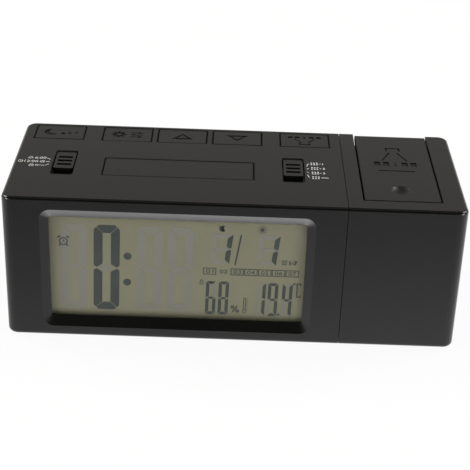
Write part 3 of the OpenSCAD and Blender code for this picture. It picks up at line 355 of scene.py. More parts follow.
def edges(tree):
    """1 on rounded edges, 0 on the flat faces of a box that stands square."""
    normal = add(tree, "NewGeometry", output="True Normal")
    folded = add(tree, "VectorMath", [normal], operation="ABSOLUTE")
    return add(tree, "Math", (largest(tree, folded), FLAT), operation="LESS_THAN")


def over(tree, names, wider_mm):
    """1 over these parts, with their outlines, seen from above, grown by wider_mm."""
    grown = Vector((wider_mm, wider_mm, 1)) * MM
    mask = 0.0
    for name in names:
        low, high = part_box(name)
        part = inside_box(tree, low - grown, high + grown)
        mask = add(tree, "Math", (part, mask), operation="MAXIMUM")
    return mask


def lip(tree, shader, names, flange_mm=0.0):
    """Leaves the rim of each of these parts coarse. The flange is hidden in the case."""
    inner = over(tree, names, -LIP_MM - flange_mm)
    roughen(shader, add(tree, "Math", (1.0, inner), operation="SUBTRACT"), COARSE)


# %% The front housing and its polished bevel
BEVEL_SIDE, BEVEL_TOP = 2.9 * MM, 3.5 * MM
BORDER_SIDE, BORDER_LOW, BORDER_TOP = 2.4 * MM, 2.8 * MM, 2.4 * MM
SKIN = 0.03 * MM

front_abs, tree, shader = moulded_abs("moulded_abs_front")
roughen(shader, edges(tree), EDGE_POLISH)
roughen(shader, over(tree, (*KEYS, "snooze_bar"), GAP_MM + LIP_MM - FLANGE_MM), COARSE)
roughen(shader, within(tree, "front_housing", 1.5, 2.2, 0.12), COARSE)
low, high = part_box("front_housing")
cover_low, cover_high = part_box("display_cover")
window_low = Vector((cover_low.x + BORDER_SIDE, low.y, cover_low.z + BORDER_LOW))
window_high = Vector((cover_high.x - BORDER_SIDE, cover_low.y, cover_high.z - BORDER_TOP))
bevel_low = window_low - Vector((BEVEL_SIDE, -SKIN, BEVEL_TOP))
bevel_high = window_high + Vector((BEVEL_SIDE, SKIN, BEVEL_TOP))
polished = inside_box(tree, bevel_low, bevel_high)
roughen(shader, polished, BEVEL_POLISH)
# The upper bevel faces down to the table, and gets the most gloss
FACES_DOWN, FACES_ASIDE = -0.48, -0.2
tilt = add(tree, "SeparateXYZ", [add(tree, "NewGeometry", output="Normal")], "Z")
upper = add(tree, "MapRange", (tilt, FACES_DOWN, FACES_ASIDE, 1, 0))
feed(shader, "Coat Weight", add(tree, "Math", (polished, upper), operation="MULTIPLY"))
shader.inputs["Coat Roughness"].default_value = 0.12
shader.inputs["Coat IOR"].default_value = 2.2
dress(front_abs, "front_housing")
print("window", [round(v / MM, 1) for v in (window_high - window_low)], "mm")

# %% The projector housing, the flap, the keys and the rest
shell_abs, tree, shader = moulded_abs("moulded_abs_shell")
roughen(shader, edges(tree), EDGE_POLISH)
roughen(shader, over(tree, ("projector_flap",), GAP_MM + LIP_MM), COARSE)
roughen(shader, within(tree, "projector_housing", 1.5, 1.5, 0.12), COARSE)
dress(shell_abs, "projector_housing")

# The flap has a smoother finger scoop in front, and a symbol pressed in behind it
SYMBOL_START = 20 * MM
low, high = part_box("projector_flap")
flap_abs, tree, shader = moulded_abs("moulded_abs_flap")
lip(tree, shader, ("projector_flap",))
pressed = below(tree, high.z - PRESSED_MM * MM)
behind = add(tree, "Math", (along(tree, "Y"), low.y + SYMBOL_START), operation="GREATER_THAN")
symbol = add(tree, "Math", (pressed, behind), operation="MULTIPLY")
roughen(shader, pressed, PRESSED_GRAIN)
roughen(shader, symbol, SYMBOL_GRAIN)
dress(flap_abs, "projector_flap")

# Keys: the symbols pressed into them keep the mould's coarse finish
for caps in (("nap_key", "down_key", "projection_key"), ("set_key", "up_key", "snooze_bar")):
    key_abs, tree, shader = moulded_abs("moulded_abs_" + caps[0], roughness=0.35)
    lip(tree, shader, caps, FLANGE_MM)
    roughen(shader, below(tree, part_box(caps[0])[1].z - PRESSED_MM * MM), COARSE)
    dress(key_abs, *caps)

slider_abs, *_ = moulded_abs("moulded_abs_sliders", tint="#101010", roughness=0.34)
dress(slider_abs, "left_slider", "right_slider")
back_abs, *_ = moulded_abs("moulded_abs_back", roughness=0.5, grain_mm=0.45, depth_mm=0.012)
dress(back_abs, "rear_cover", "battery_door")
lamp_abs, *_ = moulded_abs("moulded_abs_lamp_case", roughness=0.46)
dress(lamp_abs, "lamp_case", "lens_barrel", "focus_ring")
print("mouldings dressed:", len(dressed))

# %% [markdown]
# ## The display
# A grey-green liquid crystal cell under a clear acrylic cover. The cell is glass
# with a polarising film on it, whose faint bands come from the uneven pull of
# the film. The cover is nearly invisible, so it gets a low alpha, and the
# segments are thin flat plates in the air gap between the two.

# %% Display materials
acrylic, tree, shader = new_material("clear_acrylic", Base_Color="#050606", IOR=1.49, Alpha=0.06)
grade(shader, "Roughness", wander(tree, 22), 0.02, 0.05)
dress(acrylic, "display_cover")

BAND_MM, PALER_H, RIM_H, SHADE_START, SHADE_END = 6.0, 8 * MM, 2.4 * MM, 0.3 * MM, 4 * MM
polariser, tree, shader = new_material("polarising_film")
bands = wander(tree, BAND_MM, 1, stretch=(1, 0, 0))
banded = add(tree, "MapRange", (bands, 0.35, 0.65, 0, 1))
grade(shader, "Base Color", banded, "#84836b", "#83826a")
# Paler in its lower part, dark along its lower rim and shaded at its upper one
height = along(tree, "Z")
higher = add(tree, "MapRange", (height, window_low.z + PALER_H, window_high.z, 0, 1))
grade(shader, "Base Color", higher, fed(shader, "Base Color"), "#7e7c66")
rim = add(tree, "MapRange", (height, window_low.z, window_low.z + RIM_H, 0.5, 1.0))
grade(shader, "Base Color", rim, "#2c2c27", fed(shader, "Base Color"))
top = window_high.z
shaded = add(tree, "MapRange", (height, top - SHADE_START, top - SHADE_END, 0, 1))
grade(shader, "Base Color", shaded, "#77755f", fed(shader, "Base Color"))
grade(shader, "Roughness", bands, 0.36, 0.44)
dress(polariser, "lcd_panel")


# Liquid crystal that is switched on, and that shows faintly while it is off
lit_ink, *_ = mottled("liquid_crystal_on", 5, "#383f3c", "#3e4441", 1, Roughness=0.4)
faint_ink, *_ = mottled("liquid_crystal_off", 5, "#7f7e74", "#818076", 1, Roughness=0.4)
print("display materials:", acrylic.name, polariser.name, lit_ink.name, faint_ink.name)

# %% [markdown]
# ## Flat drawings
# Segments, icons and printed legends are all flat shapes with a little
# thickness. A drawing is a list of outlines in millimetres, each a list of
# points. A stroke turns a path into outlines, and one function stands the
# finished drawing up as thin plates: on the display, where u runs right and v
# up, or on the top, where v runs back.


# %% Drawing helpers
def stroke(path, width, closed=False):
    """Outlines that follow a path, one per straight stretch, joined at mitres."""
    points = [Vector(p) for p in path]
    ways = [(after - point).normalized() for point, after in zip(points, points[1:] + points[:1])]
    if not closed:
        ways[-1] = ways[-2]
    sides = []
    for i, point in enumerate(points):
        ahead = ways[i]
        onward = (ahead + (ways[i - 1] if closed or i else ahead)).normalized()
        across = Vector((-onward.y, onward.x))
        reach = width / 2 / max(0.5, across.dot(Vector((-ahead.y, ahead.x))))
        sides.append((point + across * reach, point - across * reach))
    ends = sides[1:] + (sides[:1] if closed else [])
    return [[a[0], a[1], b[1], b[0]] for a, b in zip(sides, ends)]


def arc(centre, radius, start=0, end=360, steps=24):
    """Points along an arc. Angles are in degrees, counted from +u."""
    angles = [math.radians(start + (end - start) * i / steps) for i in range(steps + 1)]
    if end - start == 360:
        angles.pop()
    return [(centre[0] + radius * math.cos(a), centre[1] + radius * math.sin(a)) for a in angles]


def ring(centre, radius, width, steps=24):
    return stroke(arc(centre, radius, steps=steps), width, closed=True)


def rays_out(count, near, far, width):
    """Strokes that point away from the middle."""
    rays = []
    for k in range(count):
        a = 2 * math.pi * k / count
        way = Vector((math.cos(a), math.sin(a)))
        rays += stroke([way * near, way * far], width)
    return rays


def rectangle(u0, v0, u1, v1):
    return [(u0, v0), (u1, v0), (u1, v1), (u0, v1)]


def moved(drawing, u=0.0, v=0.0, scale=1.0, slant=0.0):
    """A drawing scaled, leant over by slant and moved."""
    lean = math.tan(math.radians(slant))
    return [[(u + scale * (p[0] + lean * p[1]), v + scale * p[1]) for p in shape] for shape in drawing]


def numerals(words, height, width=None, bold=0.0):
    """Plain numerals from Blender's own font, as outlines, from u 0 rightwards."""
    curve = bpy.data.curves.new("numerals", "FONT")
    curve.body = words
    curve.offset = bold
    curve.resolution_u = 3
    holder = bpy.data.objects.new("numerals", curve)
    bpy.context.scene.collection.objects.link(holder)
    bpy.context.view_layer.update()
    evaluated = holder.evaluated_get(bpy.context.evaluated_depsgraph_get())
    mesh = bpy.data.meshes.new_from_object(evaluated)
    points = [v.co for v in mesh.vertices]
    low_u, high_u = min(p.x for p in points), max(p.x for p in points)
    low_v, high_v = min(p.y for p in points), max(p.y for p in points)
    tall = height / (high_v - low_v)
    wide = width / (high_u - low_u) if width else tall
    shapes = [
        [((points[i].x - low_u) * wide, (points[i].y - low_v) * tall) for i in face.vertices]
        for face in mesh.polygons
    ]
    bpy.data.objects.remove(holder)
    bpy.data.curves.remove(curve)
    bpy.data.meshes.remove(mesh)
    return shapes


# %% From outlines to a piece of the clock
SHARP_ANGLE = math.radians(35)


def finished(builder, name, material, body, smooth=True):
    """Turns a bmesh into a piece of the clock that rides on a body."""
    bmesh.ops.recalc_face_normals(builder, faces=builder.faces)
    mesh = bpy.data.meshes.new(name)
    builder.to_mesh(mesh)
    builder.free()
    mesh.materials.clear()
    mesh.materials.append(material)
    if smooth:
        mesh.shade_smooth()
        mesh.set_sharp_from_angle(angle=SHARP_ANGLE)
    piece = bpy.data.objects.new(name, mesh)
    bpy.context.scene.collection.objects.link(piece)
    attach(piece, body)
    return piece


def plate(name, drawing, plane, level, thickness, material, body):
    """Stands a drawing up as thin closed plates. Plane front faces -Y, back +Y, top +Z."""
    builder = bmesh.new()
    for shape in drawing:
        near, far = [], []
        for u, v in shape:
            for rim, depth in ((near, 0.0), (far, thickness)):
                if plane == "top":
                    spot = Vector((u, v, level - depth))
                else:
                    spot = Vector((u, level + (depth if plane == "front" else -depth), v))
                rim.append(builder.verts.new(spot * MM))
        builder.faces.new(near)
        builder.faces.new(far[::-1])
        for i in range(len(shape)):
            j = (i + 1) % len(shape)
            builder.faces.new((near[j], near[i], far[i], far[j]))
    bmesh.ops.triangulate(builder, faces=[f for f in builder.faces if len(f.verts) > 4])
    return finished(builder, name, material, body, smooth=False)


# %% [markdown]
# ## What the display shows
# Seven-segment figures. Each segment is an outline worked out from the size of
# the figure, the width of a bar, the cut of its corners and the gap at its
# ends, which are mitred like the corners of a picture frame.

# %% Seven-segment figures
LIT = {"0": "abcdef", "1": "bc", "4": "fgbc", "6": "acdefg", "8": "abcdefg", "9": "abcfgd"}


def seven_segments(width, height, bar, cut, gap):
    """The seven outlines of a figure with cut corners, by their usual letters."""

    def flip_u(shape):
        return [(width - u, v) for u, v in shape][::-1]

    def flip_v(shape):
        return [(u, height - v) for u, v in shape][::-1]

    mid, slip = height / 2, gap / 2
    mitre = slip * math.sqrt(2)
    corner = [((cut + mitre) / 2, height - (cut - mitre) / 2), (cut, height)]
    top = corner + flip_u(corner) + [(width - bar - mitre, height - bar), (bar + mitre, height - bar)]
    left = [(0, height - cut), ((cut - mitre) / 2, height - (cut + mitre) / 2)]
    left += [(bar, height - bar - mitre), (bar, mid + bar / 2 + slip)]
    left += [(bar / 3, mid + slip * 2), (0, mid + bar / 3)]
    tip = [(bar / 2 + slip, mid), (bar + slip, mid + bar / 2 - slip)]
    under = flip_v(tip[1:])
    middle = tip + flip_u(tip) + flip_u(under) + under
    right = flip_u(left)
    return dict(zip("abcdefg", (top, right, flip_v(right), flip_v(top), flip_v(left), left, middle)))


# %% Lay the figures out
# Places are in millimetres, u from the middle of the clock and v from the floor.
# A figure with no digit has all its segments at rest.
FEET = 0.8
BIG = seven_segments(width=9.1, height=34.1, bar=3.1, cut=1.8, gap=0.22)
BIG_FIGURES = [(-60.6, None), (-49.3, "0"), (-34.2, None), (-23.5, None)]
DATE = seven_segments(width=7.0, height=12.0, bar=1.75, cut=0.25, gap=0.2)
DATE_FIGURES = [(-8.4, "1"), (8.0, "1")]
AIR = seven_segments(width=3.6, height=13.6, bar=1.15, cut=0.6, gap=0.22)
AIR_FIGURES = [(-9.5, "6"), (-5.0, "8"), (8.1, "1"), (12.5, "9"), (17.6, "4")]

on_glass, off_glass = [], []
for figures, segments, level, slant in (
    (BIG_FIGURES, BIG, 9.7, 1.2),
    (DATE_FIGURES, DATE, 29.9, 6.0),
    (AIR_FIGURES, AIR, 9.15, 1.2),
):
    for u, digit in figures:
        for letter, outline in segments.items():
            glass = on_glass if letter in LIT.get(digit, "") else off_glass
            glass += moved([outline], u, level + FEET, slant=slant)

# Colon, date slash and decimal point
on_glass += [arc((-37.0, 31.7 + FEET), 1.4), arc((-37.2, 21.2 + FEET), 1.4)]
on_glass += stroke([(0.7, 29.7 + FEET), (2.6, 41.7 + FEET)], 0.5)
on_glass.append(arc((16.8, 9.9 + FEET), 0.45, steps=12))
print("segments:", len(on_glass), "on,", len(off_glass), "at rest")

# %% [markdown]
# Small signs round the figures: a bell clock, a crescent for the month and a sun
# for the day, the signs for per cent and degrees, a thermometer, a drop and the
# numbered days of the week. They are strokes and arcs of a few tenths of a
# millimetre.

# %% Display signs
# An alarm clock with two bells and feet, 4 mm wide, round its middle
alarm = ring((0, 0), 1.35, 0.48) + stroke([(0, 0.7), (0, 0), (0.5, -0.3)], 0.36)
for side in (-1, 1):
    start = 15 - side * 30
    alarm += stroke(arc((side * 1.35, 1.35), 0.55, start, start + 150, 6), 0.56)
    alarm += stroke([(side * 1.0, -1.1), (side * 1.55, -1.85)], 0.56)

# A crescent for the month, and a disc with eight rays for the day
MOON_R, SUN_R = 1.2, 0.7
moon = [arc((0, 0), MOON_R, 50, 310, 18) + arc((MOON_R * 0.55, 0), MOON_R * 0.82, 287, 73, 12)]
sun = [arc((0, 0), SUN_R, steps=16)] + rays_out(8, SUN_R * 1.4, SUN_R * 2.1, 0.38)

# Per cent, and a small ring with a squared C for degrees
percent = stroke([(0.5, 0), (2.3, 2.8)], 0.46)
percent += ring((0.55, 2.15), 0.48, 0.44, 12) + ring((2.25, 0.6), 0.48, 0.44, 12)
squared = [(2.3, 5.1), (2.3, 5.8), (1.05, 5.8), (1.05, 0.4), (2.3, 0.4), (2.3, 1.1)]
degree = ring((0.0, 5.7), 0.32, 0.3, 10) + stroke(squared, 0.44)

# A thermometer is a tube with a bulb and a scale beside it
thermometer = stroke([(-0.35, 1.2), (-0.35, 6.2), (0.35, 6.2), (0.35, 1.2)], 0.22)
thermometer += ring((0, 0.75), 0.65, 0.24, 14)
for k in range(5):
    thermometer += stroke([(0.7, 1.8 + k), (1.2, 1.8 + k)], 0.22)

# A drop of water stands for the damp in the air
drop = stroke(arc((0, 0), 0.6, -215, 35, 12) + [(0, 1.4)], 0.26, closed=True)

for sign, u, v in (
    (alarm, -59.3, 36.9),
    (moon, -4.0, 43.9),
    (sun, 9.8, 43.9),
    (percent, -0.2, 10.2),
    (degree, 21.9, 17.0),
    (moved(alarm, scale=0.48), 18.0, 31.2),
    (numerals("1-7", 1.8, 2.9, bold=0.05), 19.7, 30.2),
    (thermometer, 4.6, 10.0),
    (drop, -10.9, 22.0),
):
    on_glass += moved(sign, u, v + FEET)

# %% The week, and the display's plates
# Seven boxes with their numbers. The day that is shown blinks, and has no box.
WEEK_U, WEEK_V, WEEK_STEP = -10.3, 25.6 + FEET, 4.85
BOX_W, BOX_H, BOX_LINE = 4.35, 2.45, 0.28
DAY_H, DAY_W, DAY_SHOWN = 1.5, 2.7, 1
for day in range(7):
    u = WEEK_U + day * WEEK_STEP
    number = numerals(f"0{day + 1}", DAY_H, DAY_W)
    on_glass += moved(number, u + (BOX_W - DAY_W) / 2, WEEK_V + (BOX_H - DAY_H) / 2)
    if day != DAY_SHOWN:
        box = rectangle(u, WEEK_V, u + BOX_W, WEEK_V + BOX_H)
        on_glass += stroke(box, BOX_LINE, closed=True)

GLASS_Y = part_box("lcd_panel")[0].y / MM
PLATE_T = 0.05
for name, drawing, ink, lifted in (
    ("display_figures", on_glass, lit_ink, 0.08),
    ("display_resting_segments", off_glass, faint_ink, 0.07),
):
    plate(name, drawing, "front", GLASS_Y - lifted, PLATE_T, ink, "case")
print("display outlines:", len(on_glass), "on,", len(off_glass), "off")

# %% [markdown]
# ## Printed legends
# Beside each slide switch, white pad-printed signs say what its stops do. At the
# left: set the alarm, set the clock, lock the keys. At the right: four plans for
# the days on which the alarm rings. Pad print is a few hundredths of a millimetre
# of ink in lines 0.2 to 0.3 mm wide, and a tick leads from each row to its stop.

# %% Legend drawings
ink_white, *_ = mottled("pad_print_white", 0.6, "#c3c2bc", "#d9d8d3", Roughness=0.55, IOR=1.48)
SIGN_H, SIGN_LINE = 1.7, 0.2
dome = [(-0.85, -0.5), (0.85, -0.5), (0.6, -0.1), (0.52, 0.35)]
dome += arc((0, 0.35), 0.5, 0, 180, 8)[1:-1] + [(-0.52, 0.35), (-0.6, -0.1)]
bell = stroke(dome, SIGN_LINE, closed=True) + [rectangle(-0.2, -0.95, 0.2, -0.7)]
clock = ring((0, 0), 0.8, SIGN_LINE, 18) + stroke([(0, 0.5), (0, 0), (0.4, 0)], SIGN_LINE)
cog = ring((0, 0), 0.55, SIGN_LINE, 16) + rays_out(8, 0.6, 1.0, SIGN_LINE)
lock = stroke(rectangle(-0.7, -0.85, 0.7, 0.1), SIGN_LINE, closed=True)
lock += stroke([(-0.42, 0.2)] + arc((0, 0.45), 0.42, 180, 0, 8) + [(0.42, 0.2)], SIGN_LINE)
key = ring((-1.0, 0), 0.5, SIGN_LINE, 12)
for path in ([(-0.5, 0), (1.57, 0)], [(0.9, 0), (0.9, -0.6)], [(1.45, -0.6), (1.45, 0)]):
    key += stroke(path, SIGN_LINE)
# Two rows of three days
plan = [rectangle(k, v, k + 0.55, v + 0.75) for k in range(3) for v in (-1.05, 0.25)]


def time_sign(words):
    return moved(numerals(words, SIGN_H), 0, -SIGN_H / 2)


def ending_at(drawings, right_u, v, gap=0.55):
    """Sets drawings side by side, so that the last one ends at right_u."""
    line = []
    for drawing in reversed(drawings):
        low_u = min(p[0] for shape in drawing for p in shape)
        high_u = max(p[0] for shape in drawing for p in shape)
        line += moved(drawing, right_u - high_u, v)
        right_u -= high_u - low_u + gap
    return line


# %% Lay the legends out
# The ticks run together towards the switch: their inner ends are closer by CLOSER.
TICK, CLOSER = 0.26, 0.6
legend = []
LEFT_EDGE, LEFT_MID = -68.6, -2.75
for v, signs in (
    (0.3, [bell, time_sign("6:00")]),
    (-2.75, [clock, time_sign("12:00"), cog]),
    (-5.8, [lock, key]),
):
    legend += ending_at(signs, LEFT_EDGE, v)
    inner_v = LEFT_MID + (v - LEFT_MID) * CLOSER
    legend += stroke([(LEFT_EDGE + 0.4, v), (LEFT_EDGE + 1.6, inner_v)], TICK)

RIGHT_EDGE, RIGHT_MID = 26.9, -2.7
for row, v in enumerate((3.0, -0.8, -4.6, -8.4)):
    legend += moved(plan, RIGHT_EDGE + row * 0.08, v)
    if row < 3:
        legend.append(arc((RIGHT_EDGE + 3.4, v), 0.26, steps=10))
        legend += moved(numerals(str(row + 1), 1.3, bold=0.03), RIGHT_EDGE + 4.2, v - 0.65)
    else:
        legend += stroke([(RIGHT_EDGE + 3.4, v), (RIGHT_EDGE + 6.0, v)], 0.4)
    inner_v = RIGHT_MID + (v - RIGHT_MID) * CLOSER
    legend += stroke([(RIGHT_EDGE - 1.5, inner_v), (RIGHT_EDGE - 0.8, v)], TICK)

TOP_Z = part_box("front_housing")[1].z / MM
INK_T, SUNK = 0.03, 0.01
plate("switch_legends", legend, "top", TOP_Z + INK_T, INK_T + SUNK, ink_white, "case")
print("legend outlines:", len(legend))

# %% [markdown]
# ## Rubber and silicone
# The feet are moulded rubber, dull and a little dusty. The strip between the
# display and its board is a zebra connector: hundreds of thin silicone layers,
# every second one filled with carbon so that it conducts. Real layers are 0.1 mm
# thick; 0.5 mm keeps them visible. The fraction of the place along the strip
# makes the stripes, which is simpler than a texture and has no seam.

# %% Rubber materials
own = {"Roughness": 0.85, "IOR": 1.52, "Sheen_Weight": 0.15}
rubber, tree, shader, _ = mottled("foot_rubber_black", 2.5, "#1b1b1a", "#2c2b2a", 4, **own)
relief(shader, wander(tree, 0.4, 3, seed=1.0), 0.03)
dress(rubber, "rubber_feet")

LAYER_PAIR_MM = 0.5
zebra, tree, shader = new_material("zebra_silicone", Roughness=0.6, IOR=1.43)
pairs = add(tree, "Math", (along(tree, "X"), 1 / (LAYER_PAIR_MM * MM)), operation="MULTIPLY")
part = add(tree, "Math", [pairs], operation="FRACT")
layers = add(tree, "Math", (part, 0.5), operation="LESS_THAN")
grade(shader, "Base Color", layers, "#c9a9a0", "#17181a")
relief(shader, layers, 0.02, 0.5)
dress(zebra, "contact_strip")
print("rubber and silicone:", rubber.name, zebra.name)

# %% [markdown]
# ## White plastics
# The display frame, washers, sensor box and light tube are white, from glossy
# ABS to waxy nylon. A little light enters such plastics, so they get a small
# subsurface share. The light plate behind the display is clear acrylic with a
# screen of white dots printed on it, closer together away from the lamp, which
# is how one lamp lights the whole plate evenly.


# %% White materials
def white_plastic(name, tint, shade, roughness, inside=0.1):
    own = {"Roughness": roughness, "Subsurface_Weight": inside, "Subsurface_Scale": 1.2 * MM}
    material, tree, shader, _ = mottled(name, 9, shade, tint, 3, **own)
    relief(shader, wander(tree, 0.5, seed=2.0), 0.006)
    return material


dress(white_plastic("frame_abs_white", "#e6e5de", "#dad9d0", 0.42), "lcd_frame", "light_tube")
dress(white_plastic("washer_nylon", "#e9e6d8", "#ded9c6", 0.55, 0.25), "hinge_washers")
dress(white_plastic("sensor_housing_white", "#e9eaec", "#dddfe2", 0.5), "climate_sensor")

DOT_MM, SPARSE, DENSE = 1.3, 1.2, 0.2
plate_acrylic, tree, shader = new_material("light_plate_acrylic", IOR=1.49)
waves = 0.0
for axis in ("X", "Z"):
    angle = add(tree, "Math", (along(tree, axis), 2 * math.pi / (DOT_MM * MM)), operation="MULTIPLY")
    wave = add(tree, "Math", [angle], operation="SINE")
    waves = add(tree, "Math", (wave, waves), operation="ADD")
low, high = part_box("backlight")
limit = add(tree, "MapRange", (along(tree, "X"), low.x, high.x, SPARSE, DENSE))
printed = add(tree, "Math", (waves, limit), operation="GREATER_THAN")
grade(shader, "Base Color", printed, "#cfdccf", "#f4f5f0")
grade(shader, "Roughness", printed, 0.12, 0.6)
dress(plate_acrylic, "backlight")
print("light plate", round((high.x - low.x) / MM, 1), "mm wide")

# %% [markdown]
# ## Metals
# Screws are zinc plated, pins are bare ground steel, springs and contact plates
# are nickel plated and the switch cans are tinned sheet. Each plating is one
# metallic shader whose roughness wanders: broad handling marks plus a fine
# brushed or barrelled texture. Three parts are metal only in places. The buzzer
# is a brass disc with a white ceramic disc bonded to its middle, told apart by
# the distance from its axis, the power socket is a tinned shell round a black
# tongue, and a push switch has a black base and button and a tinned lid.


# %% Metal materials
def plated(name, tint, shade, roughness, stretch=(1, 1, 1)):
    """Plated metal. The fine texture is brushed along the axes with small values."""
    material, tree, shader, marks = mottled(name, 3.0, shade, tint, 4, Metallic=1.0)
    fine = wander(tree, 0.25, seed=5.0, stretch=stretch)
    worn(shader, roughness, ((marks, 0.12), (fine, 0.1)))
    relief(shader, fine, 0.004)
    return material, tree, shader


def inlay(shader, mask, colour):
    """Puts something that is no metal, in this colour, where the mask is 1."""
    grade(shader, "Base Color", mask, fed(shader, "Base Color"), colour)
    grade(shader, "Metallic", mask, 1.0, 0.0)


zinc, *_ = plated("zinc_plated_steel", "#b4b8bb", "#8f9598", 0.34)
ground_steel, *_ = plated("ground_steel", "#b9bbbd", "#a4a7aa", 0.2, (0.1, 1, 1))
nickel, *_ = plated("nickel_plate", "#cfccc4", "#b5b1a8", 0.24)
tin, *_ = plated("tinned_sheet", "#c3c4c4", "#a9abac", 0.32, (1, 0.12, 1))
dress(zinc, "cover_screws", "module_screws", "board_screws", "key_board_screws")
dress(ground_steel, "hinge_pins")
dress(nickel, "battery_contacts", "battery_springs")
dress(tin, "left_switch", "right_switch")

# %% Parts that are metal in places
CERAMIC_SHARE = 0.62
brass, tree, shader = plated("buzzer_brass", "#c9a35a", "#a98443", 0.28)
low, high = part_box("buzzer")
spot = add(tree, "TexCoord", output="Object")
offset = add(tree, "VectorMath", (spot, (low + high) / 2), operation="SUBTRACT")
flat = add(tree, "VectorMath", (offset, (1, 0, 1)), operation="MULTIPLY")
radius = add(tree, "VectorMath", [flat], "Value", operation="LENGTH")
ceramic_radius = CERAMIC_SHARE * (high.x - low.x) / 2
inlay(shader, add(tree, "Math", (radius, ceramic_radius), operation="LESS_THAN"), "#ddd9cf")
dress(brass, "buzzer")

SHELL_WALLS = Vector((0.8, 0, 0.9)) * MM
socket_tin, tree, shader = plated("socket_tin", "#c3c4c4", "#a9abac", 0.3)
low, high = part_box("power_socket")
inlay(shader, inside_box(tree, low + SHELL_WALLS, high - SHELL_WALLS), "#141414")
dress(socket_tin, "power_socket")

BUTTON_H, LID_T = 0.8 * MM, 0.5 * MM
push_switch, tree, shader = plated("push_switch", "#c3c4c4", "#a9abac", 0.34)
low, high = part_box("tact_switches")
lid_low = Vector((low.x - MM, low.y - MM, high.z - BUTTON_H - LID_T))
lid_high = Vector((high.x + MM, high.y + MM, high.z - BUTTON_H + SKIN))
lid = inside_box(tree, lid_low, lid_high)
inlay(shader, add(tree, "Math", (1.0, lid), operation="SUBTRACT"), "#161616")
dress(push_switch, "tact_switches")
print("parts with a finish:", len(dressed))

# %% [markdown]
# ## Circuit boards
# A board is glass cloth in epoxy under green solder resist. The copper tracks
# under the resist show as slightly paler lines that run square or at 45
# degrees, which is just how the cell borders of a Voronoi pattern run when
# distances are counted square-wise. The borders are where the nearest and the
# second nearest cell are equally far. The chip sits under a drop of black epoxy.


# %% Board, resin and ribbon materials
def circuit_board(name, spacing_mm):
    material, tree, shader, _ = mottled(name, 7, "#0f3d22", "#134a2a", IOR=1.54)
    spot = add(tree, "TexCoord", output="Object")
    inputs = {"Vector": spot, "Scale": 1 / (spacing_mm * MM), "Randomness": 0.9}
    near = add(tree, "TexVoronoi", inputs, "Distance", distance="MANHATTAN", feature="F1")
    far = add(tree, "TexVoronoi", inputs, "Distance", distance="MANHATTAN", feature="F2")
    gap = add(tree, "Math", (far, near), operation="SUBTRACT")
    track = add(tree, "MapRange", (gap, 0.05, 0.09, 1, 0))
    grade(shader, "Base Color", track, fed(shader, "Base Color"), "#2a6b41")
    grade(shader, "Roughness", wander(tree, 0.6, 1, seed=4.0), 0.26, 0.38)
    relief(shader, track, 0.035)
    return material


dress(circuit_board("solder_resist_green", 3.4), "main_board", "key_board")
dress(circuit_board("lamp_board_green", 2.2), "led_board")

epoxy, _, shader, flow = mottled("chip_epoxy_black", 4, "#0c0c0d", "#161617", IOR=1.56)
grade(shader, "Roughness", flow, 0.16, 0.42)
relief(shader, flow, 0.12)
dress(epoxy, "controller_chip")

# A ribbon of round wires, the first one red, with painted shade in the hollows between the wires
CONDUCTOR_MM = 1.27
ribbon_pvc, tree, shader = new_material("ribbon_pvc", Roughness=0.48, IOR=1.53)
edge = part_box("ribbon_cable")[0].x + CONDUCTOR_MM * MM
angle = add(tree, "Math", (along(tree, "X"), 2 * math.pi / (CONDUCTOR_MM * MM)), operation="MULTIPLY")
wave = add(tree, "Math", [angle], operation="SINE")
wave = add(tree, "MapRange", (wave, -1, 1, 0, 1))
# Painted shade and highlight: the grey is darker in the hollows between the wires and lighter on their
# crests
grade(shader, "Base Color", wave, "#a9a9a4", "#c9c9c3")
marked = add(tree, "Math", (along(tree, "X"), edge), operation="LESS_THAN")
grade(shader, "Base Color", marked, fed(shader, "Base Color"), "#9c2a22")
relief(shader, wave, 0.15)
dress(ribbon_pvc, "ribbon_cable")
print("parts with a finish:", len(dressed))

# %% [markdown]
# ## The projector's optics
# The lenses are clear acrylic with a violet bloom, the slide between them is a
# small dark display cell, and the lamp is a clear epoxy dome with a red cast.
# Low alpha lets the black barrel show through the lens, as a real one does, and
# a thin coat carries the bloom's colour in the highlight.

# %% Optics
own = {"Base_Color": "#c7cfdc", "IOR": 1.49, "Alpha": 0.3, "Coat_Weight": 0.6, "Coat_Tint": "#b9a6e0"}
lens_acrylic, tree, shader = new_material("lens_acrylic", **own)
grade(shader, "Roughness", wander(tree, 3), 0.02, 0.07)
dress(lens_acrylic, "projection_lens", "condenser_lens")

SLIDE_RIM = Vector((2.6, -1, 4.2)) * MM
slide_film, tree, shader, _ = mottled("slide_cell", 2, "#14161a", "#1d2026", IOR=1.52)
low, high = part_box("image_slide")
picture = inside_box(tree, low + SLIDE_RIM, high - SLIDE_RIM)
grade(shader, "Base Color", picture, fed(shader, "Base Color"), "#3b4148")
grade(shader, "Roughness", picture, 0.35, 0.12)
dress(slide_film, "image_slide")

own = {"IOR": 1.56, "Alpha": 0.75}
lamp_epoxy, _, shader, clear = mottled("lamp_epoxy", 1.5, "#c8433a", "#e07a6e", **own)
grade(shader, "Roughness", clear, 0.05, 0.16)
dress(lamp_epoxy, "projector_led")

# The cells are replaced further down
print("parts without a finish:", [n for n in nodes if n not in dressed and n != "battery_cells"])

# %% [markdown]
# ## Turned shapes
# Cells, screw heads and the like are round, so one function turns a profile on
# a lathe: a list of (radius, distance) pairs spun about an axis. A profile that
# starts and ends at radius zero closes the shape.


